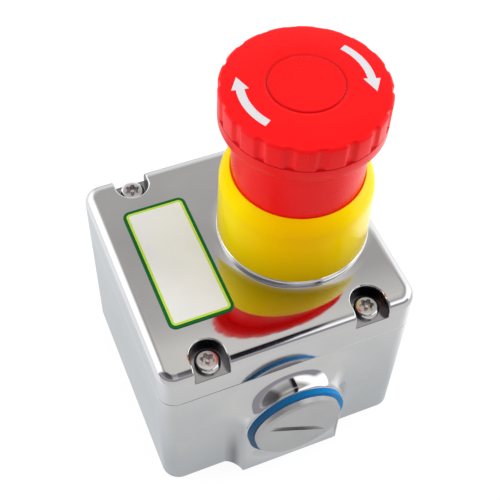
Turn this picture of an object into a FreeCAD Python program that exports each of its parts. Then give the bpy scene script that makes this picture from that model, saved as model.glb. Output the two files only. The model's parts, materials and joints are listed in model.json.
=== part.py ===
import FreeCAD, Part
import math
import os
import re
import Sketcher

# Emergency stop switch: a stainless box with a screwed lid, a twist-release mushroom button on a 22 mm
# actuator, and three contact blocks that hang under the lid. Millimetres, +Z up through the button, origin
# at the centre of the box's back face, front wall with the conduit entry towards -Y.

# Driving dimensions
SIZES = {
    # Box and lid
    "box_width": 70.0,
    "box_depth": 65.0,
    "corner_round": 4.8,
    "wall": 3.2,
    "base_floor": 3.5,
    "lid_height": 13.0,
    "lid_plate": 3.0,
    "lid_edge_round": 3.2,
    "seam_edge": 0.3,
    "rim_lip": 1.4,
    "gasket_height": 1.6,
    "gasket_gap": 0.1,
    # Lid screws and the pockets they stand in
    "lid_screw_inset_x": 13.35,
    "lid_screw_inset_y": 4.0,
    "lid_screw_shank": 3.0,
    "lid_screw_head": 5.7,
    "lid_screw_head_height": 2.4,
    "lid_screw_length": 16.0,
    "pocket_round": 4.45,
    "pocket_depth": 5.0,
    "pocket_wall": 2.0,
    "pocket_edge": 0.5,
    "thread_fit": 0.05,
    "shank_gap": 0.2,
    "hole_tip": 1.5,
    # Fixing holes in the back
    "fixing_span_x": 40.0,
    "fixing_span_y": 34.0,
    "fixing_hole": 4.2,
    "fixing_depth": 8.0,
    "fixing_pillar": 11.0,
    "fixing_pillar_height": 10.0,
    # Conduit entry, its plug and seal
    "conduit_height": 22.5,
    "conduit_bore": 18.5,
    "boss_half_width": 14.4,
    "boss_reach": 4.5,
    "boss_root": 3.4,
    "boss_edge": 0.7,
    "plug_head": 24.4,
    "plug_head_height": 2.0,
    "plug_edge": 0.6,
    "plug_shank_length": 11.0,
    "plug_slot_width": 1.8,
    "plug_slot_depth": 1.2,
    "plug_slot_length": 19.8,
    "plug_slot_turn": 33.0,
    "seal_outer": 27.4,
    "seal_height": 1.5,
    # Earth terminal
    "earth_inset": 13.0,
    "earth_pillar": 9.0,
    "earth_pillar_height": 5.0,
    "earth_washer": 9.0,
    "earth_washer_height": 1.0,
    "earth_screw_shank": 4.0,
    "earth_screw_head": 7.0,
    "earth_screw_head_height": 2.6,
    "earth_screw_length": 6.0,
    # Button: bezel, collar, neck and head
    "button_inset": 21.75,
    "bezel_lip": 1.5,
    "bezel_height": 2.6,
    "bezel_edge": 0.4,
    "panel_seal_outer": 37.0,
    "panel_seal_height": 0.9,
    "collar_inset": 0.2,
    "collar_taper": 0.35,
    "collar_wall": 2.6,
    "collar_side": 16.7,
    "collar_shoulder": 6.2,
    "collar_gap": 0.35,
    "collar_floor": 2.0,
    "neck_wall": 1.8,
    "neck_show": 16.95,
    "neck_clear": 1.0,
    "head_wall": 3.35,
    "head_band": 3.8,
    "head_edge": 0.8,
    "head_groove": 0.25,
    "head_skirt": 9.4,
    "head_rim": 1.0,
    "head_crown": 0.65,
    "head_roof": 3.6,
    "flute_count": 18,
    "flute_round": 2.0,
    "flute_depth": 0.4,
    "cap_outer": 17.8,
    "cap_height": 2.0,
    "cap_edge": 0.35,
    "cap_gap": 0.15,
    "hub_outer": 13.0,
    "hub_length": 12.0,
    "head_screw_shank": 4.0,
    "head_screw_head": 7.0,
    "head_screw_head_height": 2.0,
    "head_screw_length": 11.0,
    # Actuator under and above the lid
    "barrel_gap": 0.15,
    "flange_gap": 1.45,
    "flange_lip": 4.5,
    "flange_height": 2.5,
    "tower_gap": 1.0,
    "guide_length": 2.7,
    "nut_setback": 0.3,
    "nut_height": 5.0,
    "nut_gap": 0.2,
    # Stem, pusher and travel
    "travel": 6.0,
    "slide_fit": 0.05,
    "touch_gap": 0.1,
    "stem_lobe": 11.8,
    "stem_shaft": 8.0,
    "stem_journal": 4.0,
    "stem_setback": 1.5,
    "journal_rise": 0.3,
    "clip_outer": 5.4,
    "clip_height": 0.6,
    "clip_groove": 3.2,
    "clip_rise": 1.0,
    "clip_clear": 0.3,
    "pusher_edge": 0.3,
    "pusher_depth": 15.0,
    "pusher_height": 3.9,
    "pusher_gap": 0.3,
    # Latch pawls and their springs
    "latch_slope": 0.25,
    "cone_clear": 0.3,
    "pawl_rise": 3.1,
    "pawl_height": 3.0,
    "pawl_width": 5.0,
    "pawl_length": 3.6,
    "band_wall": 0.75,
    "band_height": 5.2,
    # Contact holder and blocks
    "holder_wall": 2.0,
    "holder_depth": 30.0,
    "holder_plate": 2.8,
    "block_width": 9.8,
    "block_play": 0.2,
    "block_length": 36.0,
    "block_height": 21.0,
    "block_wall": 1.4,
    "block_cover": 1.2,
    "block_roof": 2.5,
    "block_base": 2.0,
    "block_lift": 2.0,
    "chamber_end": 1.0,
    "plunger_head": 7.8,
    "plunger_head_height": 1.4,
    "plunger_rod": 3.8,
    "plunger_spigot": 2.8,
    "plunger_spigot_length": 4.5,
    "plunger_margin": 0.5,
    "bridge_clear": 0.8,
    "bridge_width": 4.0,
    "bridge_height": 0.8,
    "rivet_inset": 1.6,
    "rivet": 2.6,
    "rivet_height": 0.6,
    "strip_rim": 0.4,
    "strip_height": 1.0,
    "strip_drop": 0.9,
    "contact_gap": 0.05,
    "leg_clear": 0.5,
    "terminal_inset": 3.6,
    "terminal_rim": 2.2,
    "terminal_shank": 2.6,
    "terminal_head": 4.8,
    "terminal_head_height": 1.8,
    "terminal_length": 5.0,
    "terminal_play": 0.1,
    # Coil springs
    "return_coil": 19.0,
    "return_wire": 1.3,
    "contact_coil": 5.2,
    "contact_wire": 0.5,
    "latch_coil": 2.2,
    "latch_wire": 0.4,
}

# Heights and places worked out from the driving dimensions, from the back of the box upwards
DERIVED = {
    "inner_width": "box_width - 2 * wall",
    "inner_depth": "box_depth - 2 * wall",
    "screw_x": "box_width / 2 - lid_screw_inset_x",
    "screw_y": "box_depth / 2 - lid_screw_inset_y",
    "rib_half": "pocket_round + pocket_wall",
    "block_bottom": "fixing_pillar_height + block_lift",
    "block_top": "block_bottom + block_height",
    "plunger_top": "block_top + plunger_margin + travel + plunger_head_height",
    "pusher_bottom": "plunger_top + touch_gap",
    "pusher_top": "pusher_bottom + pusher_height",
    "barrel_end": "pusher_top + touch_gap",
    "holder_top": "barrel_end + holder_plate",
    "lid_ceiling": "holder_top + nut_gap + nut_height",
    "lid_top": "lid_ceiling + lid_plate",
    "base_height": "lid_top - lid_height",
    "pocket_floor": "lid_top - pocket_depth",
    "bezel_top": "lid_top + bezel_height",
    "collar_floor_top": "bezel_top + collar_floor",
    "flange_top": "collar_floor_top + flange_height",
    "shoulder_bottom": "bezel_top + collar_side",
    "collar_base": "bezel_outer - 2 * collar_inset",
    "collar_waist": "collar_base - 2 * collar_taper",
    "collar_mouth": "collar_waist - 2 * collar_wall",
    "neck_outer": "collar_mouth - 2 * collar_gap",
    "head_outer": "neck_outer + 2 * (slide_fit + head_wall)",
    "flange": "collar_mouth - 2 * flange_gap",
    "barrel": "flange - 2 * flange_lip",
    "nut_across_corners": "flange - 2 * nut_setback",
    "tower": "neck_outer - 2 * (neck_wall + tower_gap + band_wall + slide_fit)",
    "shoulder_reach": "collar_shoulder - (collar_waist - collar_mouth) / 2",
    "collar_top": "shoulder_bottom + sqrt(collar_shoulder ^ 2 - shoulder_reach ^ 2)",
    "pawl_bottom": "flange_top + pawl_rise",
    "pawl_top": "pawl_bottom + pawl_height",
    "cone_length": "pawl_height + travel",
    "cone_top": "pawl_bottom + cone_length",
    "guide_bottom": "cone_top + cone_clear",
    "tower_top": "guide_bottom + guide_length",
    "neck_bottom": "flange_top + travel + neck_clear",
    "head_bottom": "collar_top + neck_show",
    "band_top": "head_bottom + head_band",
    "rim_bottom": "head_bottom + head_skirt",
    "rim_top": "rim_bottom + head_rim",
    "head_top": "rim_top + head_crown",
    "roof_bottom": "head_top - head_roof - cap_height",
    "cap_bottom": "head_top - cap_height",
    "head_seat": "cap_bottom - head_screw_head_height - touch_gap",
    "hub_bottom": "roof_bottom - hub_length",
    "stem_top": "head_seat - stem_setback",
    "button_x": "box_width / 2 - button_inset",
    "bezel_outer": "panel_seal_outer + 2 * (touch_gap + bezel_lip)",
    "earth_x": "earth_inset - box_width / 2",
    "earth_seat": "base_floor + earth_pillar_height",
    "boss_face": "box_depth / 2 + boss_reach",
    "root_round": "min(boss_root; 0.9 * (base_height - conduit_height - boss_half_width))",
    "slot_cutter": "plug_slot_length ^ 2 / (8 * plug_slot_depth) + plug_slot_depth / 2",
    "block_pitch": "block_width + block_play",
    "chamber_top": "block_top - block_roof",
    "chamber_bottom": "block_bottom + block_base",
    "break_strip": "chamber_top - strip_drop - strip_height",
    "bridge_top": "break_strip - 2 * rivet_height - contact_gap",
    "bridge_bottom": "bridge_top - bridge_height",
    "make_strip": "bridge_bottom - 2 * rivet_height - contact_gap - travel - strip_height",
    "terminal_y": "block_length / 2 - terminal_inset",
    "tab_end": "terminal_y + terminal_rim",
    "strip_leg": "terminal_y - terminal_shank / 2 - 2 * terminal_play - strip_height",
    "bay_start": "strip_leg - leg_clear",
    "chamber_length": "2 * (bay_start - chamber_end)",
    "bridge_length": "chamber_length - 2 * bridge_clear",
    "rivet_span": "bridge_length - 2 * rivet_inset",
    "strip_inner": "rivet_span / 2 - rivet / 2 - strip_rim",
    "pusher_width": "2 * block_pitch + plunger_head + 2 * pusher_edge",
    "holder_width": "pusher_width + 2 * pusher_gap + 2 * holder_wall",
}

doc = FreeCAD.newDocument("emergency_stop_switch")
sizes = doc.addObject("Spreadsheet::Sheet", "sizes")
ROWS = list(SIZES.items()) + [(name, "=" + text) for name, text in DERIVED.items()]
for row, (name, content) in enumerate(ROWS, start=1):
    sizes.set(f"A{row}", name)
    sizes.set(f"B{row}", str(content))
    sizes.setAlias(f"B{row}", name)
doc.recompute()
NAMES = {name for name, content in ROWS}


def link(text):
    """An expression over the sheet's names, with each name tied to its cell."""
    return re.sub(r"[a-z_]+", lambda word: "sizes." + word[0] if word[0] in NAMES else word[0], str(text))


def number(text):
    """The present value of an expression over the sheet's names."""
    return float(sizes.evalExpression(link(text)))


def bind(thing, **properties):
    """Tie properties to expressions; a double underscore stands for the dot of a sub-property."""
    for path, text in properties.items():
        thing.setExpression(path.replace("__", "."), link(text))
    return thing


def place(thing, x="0", y="0", z="0"):
    return bind(thing, Placement__Base__x=x, Placement__Base__y=y, Placement__Base__z=z)


def new_body(label, x="0", y="0", z="0"):
    body = doc.addObject("PartDesign::Body", label)
    body.Label = label
    return place(body, x, y, z)


def origin_of(body, role):
    """One of the body's own origin planes or axes."""
    return next(datum for datum in body.Origin.OriginFeatures if datum.Role == role)


def sketch_on(body, role, offset="0"):
    """A sketch on one of the body's origin planes, moved along the plane's normal."""
    sketch = body.newObject("Sketcher::SketchObject", body.Label + "_sketch")
    sketch.AttachmentSupport = [(origin_of(body, role), "")]
    sketch.MapMode = "FlatFace"
    return bind(sketch, AttachmentOffset__Base__z=offset)


def tilt(sketch, axis, angle):
    """Turn a sketch about an axis of its own plane by an angle in degrees."""
    sketch.AttachmentOffset.Rotation = FreeCAD.Rotation(axis, number(angle))
    return bind(sketch, AttachmentOffset__Rotation__Angle=angle)


def lock(sketch, kind, geometry, point, text):
    index = sketch.addConstraint(Sketcher.Constraint(kind, -1, 1, geometry, point, number(text)))
    sketch.setExpression(f"Constraints[{index}]", link(text))


def side_arc(start, end, radius, left):
    """The arc from start to end whose centre lies to the left or right of the way along it."""
    middle = (start + end) * 0.5
    chord = end - start
    height = math.sqrt(max(radius ** 2 - chord.Length ** 2 / 4, 0.0))
    across = FreeCAD.Vector(-chord.y, chord.x, 0).normalize() * (height if left else -height)
    circle = Part.Circle(middle + across, FreeCAD.Vector(0, 0, 1), radius)
    first, last = (start, end) if left else (end, start)
    return Part.ArcOfCircle(circle, circle.parameter(first), circle.parameter(last))


def outline(sketch, points):
    """Close a loop through points (x, y). A third item is the radius of an arc to the next point: centre to
    the left of the way for a plain radius, to the right for one with a minus sign in front."""
    places = [FreeCAD.Vector(number(p[0]), number(p[1]), 0) for p in points]
    sides = []
    for index, point in enumerate(points):
        start = places[index]
        end = places[(index + 1) % len(points)]
        if len(point) == 2:
            sides.append((sketch.addGeometry(Part.LineSegment(start, end)), 1, 2))
            continue
        left = not point[2].startswith("-")
        radius = point[2].lstrip("-")
        arc = sketch.addGeometry(side_arc(start, end, number(radius), left))
        sides.append((arc, 1, 2) if left else (arc, 2, 1))
        tie = sketch.addConstraint(Sketcher.Constraint("Radius", arc, number(radius)))
        sketch.setExpression(f"Constraints[{tie}]", link(radius))
    for index, point in enumerate(points):
        before, _, ending = sides[index - 1]
        after, starting, _ = sides[index]
        sketch.addConstraint(Sketcher.Constraint("Coincident", before, ending, after, starting))
        lock(sketch, "DistanceX", after, starting, point[0])
        lock(sketch, "DistanceY", after, starting, point[1])
    return sketch


def circles(sketch, radius, centres):
    for x, y in centres:
        middle = FreeCAD.Vector(number(x), number(y), 0)
        ring = sketch.addGeometry(Part.Circle(middle, FreeCAD.Vector(0, 0, 1), number(radius)))
        tie = sketch.addConstraint(Sketcher.Constraint("Radius", ring, number(radius)))
        sketch.setExpression(f"Constraints[{tie}]", link(radius))
        lock(sketch, "DistanceX", ring, 3, x)
        lock(sketch, "DistanceY", ring, 3, y)
    return sketch


def box_points(half_x, half_y):
    return span_points(f"-({half_x})", f"-({half_y})", half_x, half_y)


def rounded_box(half_x, half_y, radius):
    """A rectangle about the origin with a quarter circle at each corner."""
    points = []
    for i, j in ((1, -1), (1, 1), (-1, 1), (-1, -1)):
        before = (f"{i} * ({half_x} - ({radius}))", f"{j} * ({half_y})")
        after = (f"{i} * ({half_x})", f"{j} * ({half_y} - ({radius}))")
        first, last = (before, after) if i * j < 0 else (after, before)
        points += [(*first, f"({radius})"), last]
    return points


def span_points(low_x, low_y, high_x, high_y):
    return [(low_x, low_y), (high_x, low_y), (high_x, high_y), (low_x, high_y)]


def corners(x, y):
    return [(f"{i} * ({x})", f"{j} * ({y})") for i in (-1, 1) for j in (-1, 1)]


def feature(body, kind, sketch, length, reverse=False):
    """Pad or pocket a sketch. A pad grows along the sketch's normal, a pocket cuts against it."""
    step = body.newObject("PartDesign::" + kind, f"{body.Label}_{kind}")
    step.Profile = sketch
    step.Reversed = reverse
    bind(step, Length=length)
    sketch.Visibility = False
    return step


def pad(body, sketch, length, reverse=False):
    return feature(body, "Pad", sketch, length, reverse)


def pocket(body, sketch, length, reverse=False):
    """Cut a sketch out of the body, and make sure that something was cut."""
    doc.recompute()
    before = body.Shape.Volume
    step = feature(body, "Pocket", sketch, length, reverse)
    doc.recompute()
    if not body.Shape.Volume < before - 1e-6:
        raise RuntimeError(f"{step.Name} cuts nothing from {body.Label}")
    return step


def round_edges(body, radius, wanted):
    """Fillet the edges of the body's last feature that the test picks out."""
    doc.recompute()
    base = body.Tip
    names = [f"Edge{i}" for i, edge in enumerate(base.Shape.Edges, start=1) if wanted(edge)]
    if not names:
        raise RuntimeError(f"no edge to round on {body.Label}")
    step = body.newObject("PartDesign::Fillet", f"{body.Label}_rounding")
    step.Base = (base, names)
    return bind(step, Radius=radius)


def upright(edge):
    """A straight edge along Z."""
    low, high = edge.BoundBox.ZMin, edge.BoundBox.ZMax
    return edge.Curve.TypeId == "Part::GeomLine" and abs(high - low - edge.Length) < 1e-6


def turned(label, points, x="0", y="0", z="0"):
    """A piece of revolution about its own Z axis, from a profile of radius and height."""
    body = new_body(label, x, y, z)
    sketch = outline(sketch_on(body, "XZ_Plane"), points)
    step = body.newObject("PartDesign::Revolution", label + "_turn")
    step.Profile = sketch
    step.ReferenceAxis = (sketch, ["V_Axis"])
    step.Angle = 360
    return body


def group(label, members):
    """Several like solids under one name."""
    bundle = doc.addObject("Part::Compound", label)
    bundle.Label = label
    bundle.Links = members
    return bundle


def screw_points(shank, head, head_height, length, seat):
    """Profile of a plain screw whose head's underside is at the height seat and whose shank runs down."""
    return [
        ("0", f"{seat} - {length}"),
        (f"{shank} / 2", f"{seat} - {length}"),
        (f"{shank} / 2", seat),
        (f"{head} / 2", seat),
        (f"{head} / 2", f"{seat} + {head_height}"),
        ("0", f"{seat} + {head_height}"),
    ]


def coil(label, diameter, wire, length, turns, x, y, z, turn=None):
    """A coil spring along its own Z axis, between two seats the given length apart."""
    rise = f"({length} - {wire} - 2 * touch_gap)"
    path = doc.addObject("Part::Helix", label + "_path")
    bind(path, Pitch=f"{rise} / {turns}", Height=rise, Radius=f"{diameter} / 2")
    section = doc.addObject("Part::RegularPolygon", label + "_section")
    section.Polygon = 6
    bind(section, Circumradius=f"{wire} / 2", Placement__Base__x=f"{diameter} / 2")
    section.Placement.Rotation = FreeCAD.Rotation(FreeCAD.Vector(1, 0, 0), 90)
    sweep = doc.addObject("Part::Sweep", label)
    sweep.Label = label
    sweep.Sections = [section]
    sweep.Spine = (path, ["Edge1"])
    sweep.Solid = True
    sweep.Frenet = True
    if turn:
        sweep.Placement.Rotation = turn
    return place(sweep, x, y, z)


def cavity_points():
    """The inside of the box: a rectangle with a rib standing in from the long walls at each lid screw."""
    half_x = "inner_width / 2"
    half_y = "inner_depth / 2"
    near = "screw_x - rib_half"
    far = "screw_x + rib_half"
    step = "screw_y - rib_half"
    quarter = [(half_x, half_y), (far, half_y), (far, step), (near, step), (near, half_y)]
    points = []
    for i, j, order in ((1, 1, 1), (-1, 1, -1), (-1, -1, 1), (1, -1, -1)):
        points += [(f"{i} * ({x})", f"{j} * ({y})") for x, y in quarter[::order]]
    return points


def arch_points(half, spring, foot):
    """A flat-footed arch: straight sides up to the spring line, then half a circle as two quarters."""
    return [
        (f"-{half}", foot),
        (half, foot),
        (half, spring, half),
        ("0", f"{spring} + {half}", half),
        (f"-{half}", spring),
    ]


SCREW_PLACES = corners("screw_x", "screw_y")
FIXING_PLACES = corners("fixing_span_x / 2", "fixing_span_y / 2")


def base():
    """Cast stainless base: walls, screw ribs, fixing pillars with blind holes, and the conduit boss."""
    body = new_body("base")
    footprint = rounded_box("box_width / 2", "box_depth / 2", "corner_round")
    pad(body, outline(sketch_on(body, "XY_Plane"), footprint), "base_height")
    seam = number("base_height")
    round_edges(body, "seam_edge", lambda edge: edge.BoundBox.ZMin > seam - 1e-6)
    front = sketch_on(body, "XZ_Plane", "box_depth / 2 - wall")
    pad(body, outline(front, arch_points("boss_half_width", "conduit_height", "0")), "boss_reach + wall")
    reach = number("boss_half_width")

    def boss_edge(edge, depth):
        """An edge of the boss's arch, above the back face, in the plane this far in front of the middle."""
        bounds = edge.BoundBox
        level = max(abs(bounds.YMin + depth), abs(bounds.YMax + depth)) < 1e-6
        return level and max(-bounds.XMin, bounds.XMax) < reach + 1e-6 and bounds.ZMax > 1e-6

    for radius, plane in (("root_round", "box_depth / 2"), ("boss_edge", "boss_face")):
        round_edges(body, radius, lambda edge: boss_edge(edge, number(plane)))
    lip = rounded_box("box_width / 2 - rim_lip", "box_depth / 2 - rim_lip", "corner_round - rim_lip")
    pocket(body, outline(sketch_on(body, "XY_Plane", "base_height"), lip), "gasket_height")
    hollow = outline(sketch_on(body, "XY_Plane", "base_height"), cavity_points())
    pocket(body, hollow, "base_height - base_floor")
    earth_place = [("earth_x", "0")]
    pillars = circles(sketch_on(body, "XY_Plane"), "fixing_pillar / 2", FIXING_PLACES)
    pad(body, pillars, "fixing_pillar_height")
    pad(body, circles(sketch_on(body, "XY_Plane"), "earth_pillar / 2", earth_place), "earth_seat")
    fixing = circles(sketch_on(body, "XY_Plane"), "fixing_hole / 2", FIXING_PLACES)
    pocket(body, fixing, "fixing_depth", reverse=True)
    earth_thread = sketch_on(body, "XY_Plane", "earth_seat")
    circles(earth_thread, "earth_screw_shank / 2 + thread_fit", earth_place)
    pocket(body, earth_thread, "earth_screw_length - earth_washer_height + hole_tip")
    lid_threads = sketch_on(body, "XY_Plane", "base_height")
    circles(lid_threads, "lid_screw_shank / 2 + thread_fit", SCREW_PLACES)
    pocket(body, lid_threads, "lid_screw_length - (pocket_floor - base_height) + hole_tip")
    bore = circles(sketch_on(body, "XZ_Plane", "boss_face"), "conduit_bore / 2", [("0", "conduit_height")])
    pocket(body, bore, "boss_reach + 2 * wall")
    return body


def gasket():
    """Flat gasket in the rim's rebate, with an eye for each lid screw."""
    body = new_body("lid_gasket", z="base_height - gasket_height")
    inset = "(rim_lip + gasket_gap)"
    edge = rounded_box(f"box_width / 2 - {inset}", f"box_depth / 2 - {inset}", f"corner_round - {inset}")
    pad(body, outline(sketch_on(body, "XY_Plane"), edge), "gasket_height")
    pocket(body, outline(sketch_on(body, "XY_Plane", "gasket_height"), cavity_points()), "gasket_height")
    eyes = sketch_on(body, "XY_Plane", "gasket_height")
    pocket(body, circles(eyes, "lid_screw_shank / 2 + shank_gap", SCREW_PLACES), "gasket_height")
    return body


def lid():
    """Lid: a shallow tray with rounded top edges, open screw pockets and the button hole."""
    body = new_body("lid", z="base_height")
    footprint = rounded_box("box_width / 2", "box_depth / 2", "corner_round")
    pad(body, outline(sketch_on(body, "XY_Plane"), footprint), "lid_height")
    top = number("lid_height")
    round_edges(body, "lid_edge_round", lambda edge: edge.BoundBox.ZMin > top - 1e-6)
    round_edges(body, "seam_edge", lambda edge: edge.BoundBox.ZMax < 1e-6)
    hollow = outline(sketch_on(body, "XY_Plane"), cavity_points())
    pocket(body, hollow, "lid_height - lid_plate", reverse=True)
    for side_x in (-1, 1):
        for side_y in (-1, 1):
            half = "pocket_round"
            middle = f"{side_x} * screw_x"
            spring = f"{side_y} * screw_y"
            outer = f"{side_y} * (box_depth / 2 + wall)"
            turn = half if side_y < 0 else "-" + half
            u_shape = [
                (f"{middle} - {half}", outer),
                (f"{middle} + {half}", outer),
                (f"{middle} + {half}", spring, turn),
                (middle, f"{spring} - {side_y} * {half}", turn),
                (f"{middle} - {half}", spring),
            ]
            pocket(body, outline(sketch_on(body, "XY_Plane", "lid_height"), u_shape), "pocket_depth")
    wall_round = number("pocket_round")

    def pocket_rim(edge):
        """The round part of a pocket's upper edge; the rounding runs on along the straight parts."""
        if edge.BoundBox.ZMin < top - 1e-6 or edge.Curve.TypeId != "Part::GeomCircle":
            return False
        return abs(edge.Curve.Radius - wall_round) < 1e-6

    round_edges(body, "pocket_edge", pocket_rim)
    holes = circles(sketch_on(body, "XY_Plane"), "lid_screw_shank / 2 + shank_gap", SCREW_PLACES)
    pocket(body, holes, "lid_height", reverse=True)
    panel = circles(sketch_on(body, "XY_Plane"), "barrel / 2 + barrel_gap", [("button_x", "0")])
    pocket(body, panel, "lid_height", reverse=True)
    return body


def lid_screws():
    points = screw_points("lid_screw_shank", "lid_screw_head", "lid_screw_head_height", "lid_screw_length",
                          "pocket_floor")
    members = [turned(f"lid_screw_{i}", points, x, y) for i, (x, y) in enumerate(SCREW_PLACES)]
    return group("lid_screws", members)


def conduit_seal():
    """Flat sealing ring between the boss and the plug's head."""
    body = new_body("conduit_seal")
    ring = sketch_on(body, "XZ_Plane", "boss_face")
    circles(ring, "seal_outer / 2", [("0", "conduit_height")])
    circles(ring, "conduit_bore / 2 + thread_fit", [("0", "conduit_height")])
    pad(body, ring, "seal_height")
    return body


def conduit_plug():
    """Blanking plug: a disc head with a bevelled rim on a shank that fills the entry. Its coin slot has the
    bowed bottom that a disc cutter leaves, and ends short of the rim."""
    shank = "conduit_bore / 2 - thread_fit"
    body = turned("conduit_plug", [
        ("0", "-plug_shank_length"),
        (shank, "-plug_shank_length"),
        (shank, "0"),
        ("plug_head / 2", "0"),
        ("plug_head / 2", "plug_head_height - plug_edge"),
        ("plug_head / 2 - plug_edge", "plug_head_height"),
        ("0", "plug_head_height"),
    ], "0", "-boss_face - seal_height", "conduit_height")
    body.Placement.Rotation = FreeCAD.Rotation(FreeCAD.Vector(1, 0, 0), 90)
    slot = tilt(sketch_on(body, "XZ_Plane"), FreeCAD.Vector(0, 1, 0), "-plug_slot_turn")
    circles(slot, "slot_cutter", [("0", "plug_head_height - plug_slot_depth + slot_cutter")])
    pocket(body, slot, "plug_slot_width").Midplane = True
    return body


def earth_terminal():
    seat = "earth_seat + earth_washer_height"
    points = screw_points("earth_screw_shank", "earth_screw_head", "earth_screw_head_height",
                          "earth_screw_length", seat)
    turned("earth_screw", points, "earth_x")
    hole = "earth_screw_shank / 2 + shank_gap"
    turned("earth_washer", span_points(hole, "earth_seat", "earth_washer / 2", seat), "earth_x")
    return ["earth_screw", "earth_washer"]


def button_mount():
    """What clamps the button to the lid: bezel ring, panel seal, collar, actuator body and lock nut."""
    bore = "barrel / 2 + barrel_gap"
    seal_edge = "panel_seal_outer / 2"
    seal_top = "lid_top + panel_seal_height"
    turned("bezel_ring", [
        (bore, seal_top),
        (f"{seal_edge} + touch_gap", seal_top),
        (f"{seal_edge} + touch_gap", "lid_top"),
        ("bezel_outer / 2", "lid_top"),
        ("bezel_outer / 2", "bezel_top - bezel_edge", "bezel_edge"),
        ("bezel_outer / 2 - bezel_edge", "bezel_top"),
        (bore, "bezel_top"),
    ], "button_x")
    turned("panel_seal", span_points(bore, "lid_top", seal_edge, seal_top), "button_x")
    turned("guard_collar", [
        (bore, "bezel_top"),
        ("collar_base / 2", "bezel_top"),
        ("collar_waist / 2", "shoulder_bottom", "collar_shoulder"),
        ("collar_mouth / 2", "collar_top"),
        ("collar_mouth / 2", "collar_floor_top"),
        (bore, "collar_floor_top"),
    ], "button_x")
    lobe_bore = "stem_lobe / 2 + slide_fit"
    guide = "stem_shaft / 2 + slide_fit"
    actuator = turned("actuator_body", [
        (lobe_bore, "barrel_end"),
        ("barrel / 2", "barrel_end"),
        ("barrel / 2", "collar_floor_top"),
        ("flange / 2", "collar_floor_top"),
        ("flange / 2", "flange_top"),
        ("tower / 2", "flange_top"),
        ("tower / 2", "tower_top"),
        (guide, "tower_top"),
        (guide, "guide_bottom"),
        (lobe_bore, "guide_bottom"),
    ], "button_x")
    channel = span_points("-pawl_width / 2 - touch_gap", "pawl_bottom - touch_gap",
                          "pawl_width / 2 + touch_gap", "pawl_top + touch_gap")
    pocket(actuator, outline(sketch_on(actuator, "YZ_Plane", "tower"), channel), "2 * tower")
    prism = doc.addObject("Part::Prism", "lock_nut_blank")
    prism.Polygon = 6
    place(prism, "button_x", z="holder_top + nut_gap")
    bind(prism, Circumradius="nut_across_corners / 2", Height="nut_height")
    hole = doc.addObject("Part::Cylinder", "lock_nut_thread")
    bind(place(hole, "button_x", z="holder_top"), Radius="barrel / 2 + thread_fit", Height="2 * nut_height")
    nut = doc.addObject("Part::Cut", "lock_nut")
    nut.Label = "lock_nut"
    nut.Base = prism
    nut.Tool = hole
    return ["bezel_ring", "panel_seal", "guard_collar", "actuator_body", "lock_nut"]


def mushroom_head():
    """Mushroom head: a turned cap with a hub, a plain band below a fine groove, and flutes above it."""
    hub_bore = "stem_shaft / 2 + slide_fit"
    screw_hole = "head_screw_shank / 2 + shank_gap"
    recess = "cap_outer / 2 + cap_gap"
    body = turned("mushroom_head", [
        (hub_bore, "hub_bottom"),
        ("hub_outer / 2", "hub_bottom"),
        ("hub_outer / 2", "roof_bottom"),
        ("neck_outer / 2 + slide_fit", "roof_bottom"),
        ("neck_outer / 2 + slide_fit", "head_bottom"),
        ("head_outer / 2 - head_edge", "head_bottom", "head_edge"),
        ("head_outer / 2", "head_bottom + head_edge"),
        ("head_outer / 2", "band_top - head_groove"),
        ("head_outer / 2 - head_groove", "band_top"),
        ("head_outer / 2", "band_top + head_groove"),
        ("head_outer / 2", "rim_bottom", "head_rim"),
        ("head_outer / 2 - head_rim", "rim_top"),
        (recess, "head_top"),
        (recess, "cap_bottom"),
        ("head_screw_head / 2 + shank_gap", "cap_bottom"),
        ("head_screw_head / 2 + shank_gap", "head_seat"),
        (screw_hole, "head_seat"),
        (screw_hole, "stem_top"),
        (hub_bore, "stem_top"),
    ], "button_x")
    middle = "head_outer / 2 - flute_depth + flute_round"
    groove = circles(sketch_on(body, "XY_Plane", "band_top"), "flute_round", [(middle, "0")])
    flute = pocket(body, groove, "head_skirt", reverse=True)
    pattern = body.newObject("PartDesign::PolarPattern", "mushroom_head_flutes")
    pattern.Originals = [flute]
    pattern.Axis = (origin_of(body, "Z_Axis"), [""])
    pattern.Angle = 360
    bind(pattern, Occurrences="flute_count")
    body.Tip = pattern
    return body


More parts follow.
